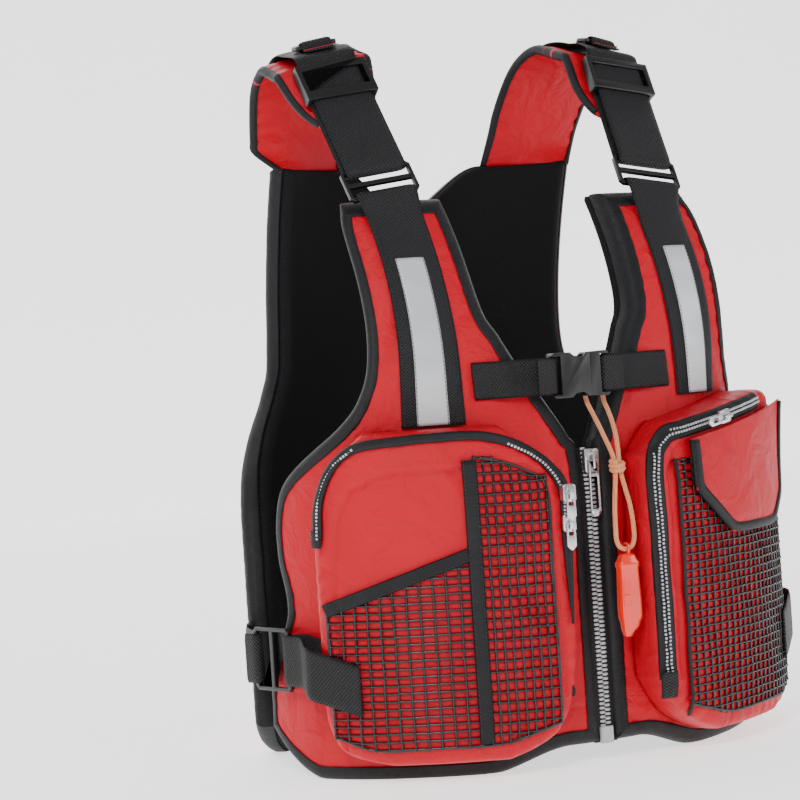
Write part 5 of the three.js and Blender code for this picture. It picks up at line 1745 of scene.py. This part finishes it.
# %% Centre zip
ZIP_TOOTH = small_item("zip_tooth_item", (1.05, 2.5, 1.7), power=0.45, rows=4, around=8)
for name, side in SIDES:
    top = 235 if side < 0 else 211
    z = np.linspace(15 + (1.6 if side < 0 else 0), top, 60)
    web = strap(f"zip_cloth_{name}", [on_form(side, 6.0, 4.6, h, T - 4.8) for h in np.linspace(14.2,
        top + 1, 10)], 4.6, 1.6,
                ZIP_TAPE, 9, 4)
    web_row = [(torso(side * 2.3, z, T - 4.2), normal_at(side * 2.3, z, T))]
    settle(web, f"{name}_half", f"zip_tape_{name}", "zip_tape")
    stitch(f"zip_teeth_{name}", web_row, TEETH, f"{name}_half", 3.3, ZIP_TOOTH)
box = strap("zip_box", [lambda u, z=z: torso(u * 6.0, z, T - 3.4) for z in (13.5, 16, 20, 24, 26)],
            6.0, 5.4, TEETH, 9, 3)
settle(box, "left_half", None, "zip_metal")

# %% [markdown]
# ## Fittings
# The moulded and plated pieces keep the frame's own shapes, with rounded edges. Each is a
# merged copy with a small bevel.

# %% Fittings
def fitting(node, body, finish, slot, width, name):
    """A merged, softened copy of a CAD node in its place."""
    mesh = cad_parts[node].data.copy()
    mesh.transform(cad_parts[node].matrix_world)
    piece = bpy.data.objects.new(name, mesh)
    bpy.context.scene.collection.objects.link(piece)
    shape = bmesh.new()
    shape.from_mesh(mesh)
    bmesh.ops.remove_doubles(shape, verts=shape.verts, dist=2e-5)
    bmesh.ops.recalc_face_normals(shape, faces=shape.faces)
    bmesh.ops.dissolve_limit(shape, angle_limit=math.radians(2), verts=shape.verts, edges=shape.edges)
    shape.to_mesh(mesh)
    shape.free()
    mesh.materials.clear()
    mesh.materials.append(finish)
    soften(piece, width, 3, 30)
    for polygon in piece.data.polygons:
        polygon.use_smooth = True
    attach(piece, body)
    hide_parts(node)
    return piece


fittings = [("zip_slider", "zip_slider", METAL, "zip_metal", 0.7),
            ("zip_pull", "zip_pull", METAL, "zip_metal", 0.7)]
for part in ("pocket_slider_upper", "pocket_pull_upper", "pocket_slider_lower", "pocket_pull_lower",
             "pocket_slider_left", "pocket_pull_left"):
    fittings.append((part, part, METAL, "zip_metal", 0.5))
for name, side in SIDES:
    fittings += [(f"lower_loop_{name}", f"{name}_half", PLASTIC, "black_plastic", 1.2),
                 (f"shoulder_adjuster_{name}", f"shoulder_adjuster_{name}", PLASTIC, "black_plastic",
                  0.9),
                 (f"side_adjuster_{name}", f"{name}_half", PLASTIC, "black_plastic", 0.9),
                 (f"d_ring_{name}", f"d_ring_{name}", PLASTIC, "black_plastic", 1.0)]
fittings += [("buckle_socket", "right_half", PLASTIC, "black_plastic", 1.0),
             ("buckle_plug", "left_half", PLASTIC, "black_plastic", 0.8),
             ("buckle_arm_upper", "buckle_arm_upper", PLASTIC, "black_plastic", 0.6),
             ("buckle_arm_lower", "buckle_arm_lower", PLASTIC, "black_plastic", 0.6)]
for node, body, finish, slot, width in fittings:
    fitting(node, body, finish, slot, width, f"{node}_moulded")
print(len(fittings), "fittings")


# %% [markdown]
# ## Stage
# A plain pale floor and backdrop, a large soft key lamp to the upper left, a fill on the
# right and a pale sky. Nothing here belongs to the vest.

# %% Floor and lights
def make_stage():
    paper = Finish("studio_paper", Roughness=0.9, Emission_Strength=1.25)
    paper.feed("Emission Color", paper.between(srgb(250, 250, 250), srgb(255, 255, 255),
                                               paper.speckle(3)))
    paper.feed("Base Color", paper.between(srgb(238, 238, 238), srgb(244, 244, 244), paper.speckle(2)))
    floor = make_mesh("floor", [(-6000, -6000, 0), (6000, -6000, 0), (6000, 6000, 0), (-6000, 6000, 0)],
                      [[0, 1, 2, 3]], None, paper.material)
    floor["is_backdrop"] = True
    wall = make_mesh("backdrop", [(-9000, 3200, -200), (9000, 3200, -200), (9000, 3200, 7000),
                                  (-9000, 3200, 7000)],
                     [[0, 1, 2, 3]], None, paper.material)
    wall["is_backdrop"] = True
    sky = bpy.data.worlds.new("sky")
    sky.use_nodes = True
    sky.node_tree.nodes["Background"].inputs["Color"].default_value = (1, 1, 1, 1)
    sky.node_tree.nodes["Background"].inputs["Strength"].default_value = 0.42
    bpy.context.scene.world = sky
    lamps = [((-1.6, -1.9, 1.9), 0.9, 52), ((1.7, -1.5, 1.0), 1.2, 14), ((0.2, 1.9, 2.0), 1.4, 9)]
    for place, size, power in lamps:
        data = bpy.data.lights.new("soft_lamp", "AREA")
        data.shape, data.size, data.energy = "DISK", size, power
        lamp = bpy.data.objects.new("soft_lamp", data)
        lamp.location = place
        lamp.rotation_euler = (Vector((0, 0, 0.3)) - Vector(place)).to_track_quat("-Z", "Y").to_euler()
        bpy.context.scene.collection.objects.link(lamp)


make_stage()

# %% [markdown]
# The last cell prints the visual box, so that the looks can be compared with the frame,
# whose box is printed after loading.

# %% Sizes and finish
def corners(pair):
    return [[round(v, 5) for v in corner] for corner in pair]


{"cad": corners(cad_box), "visual": corners(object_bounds())}
print("visual box", corners(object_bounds()))
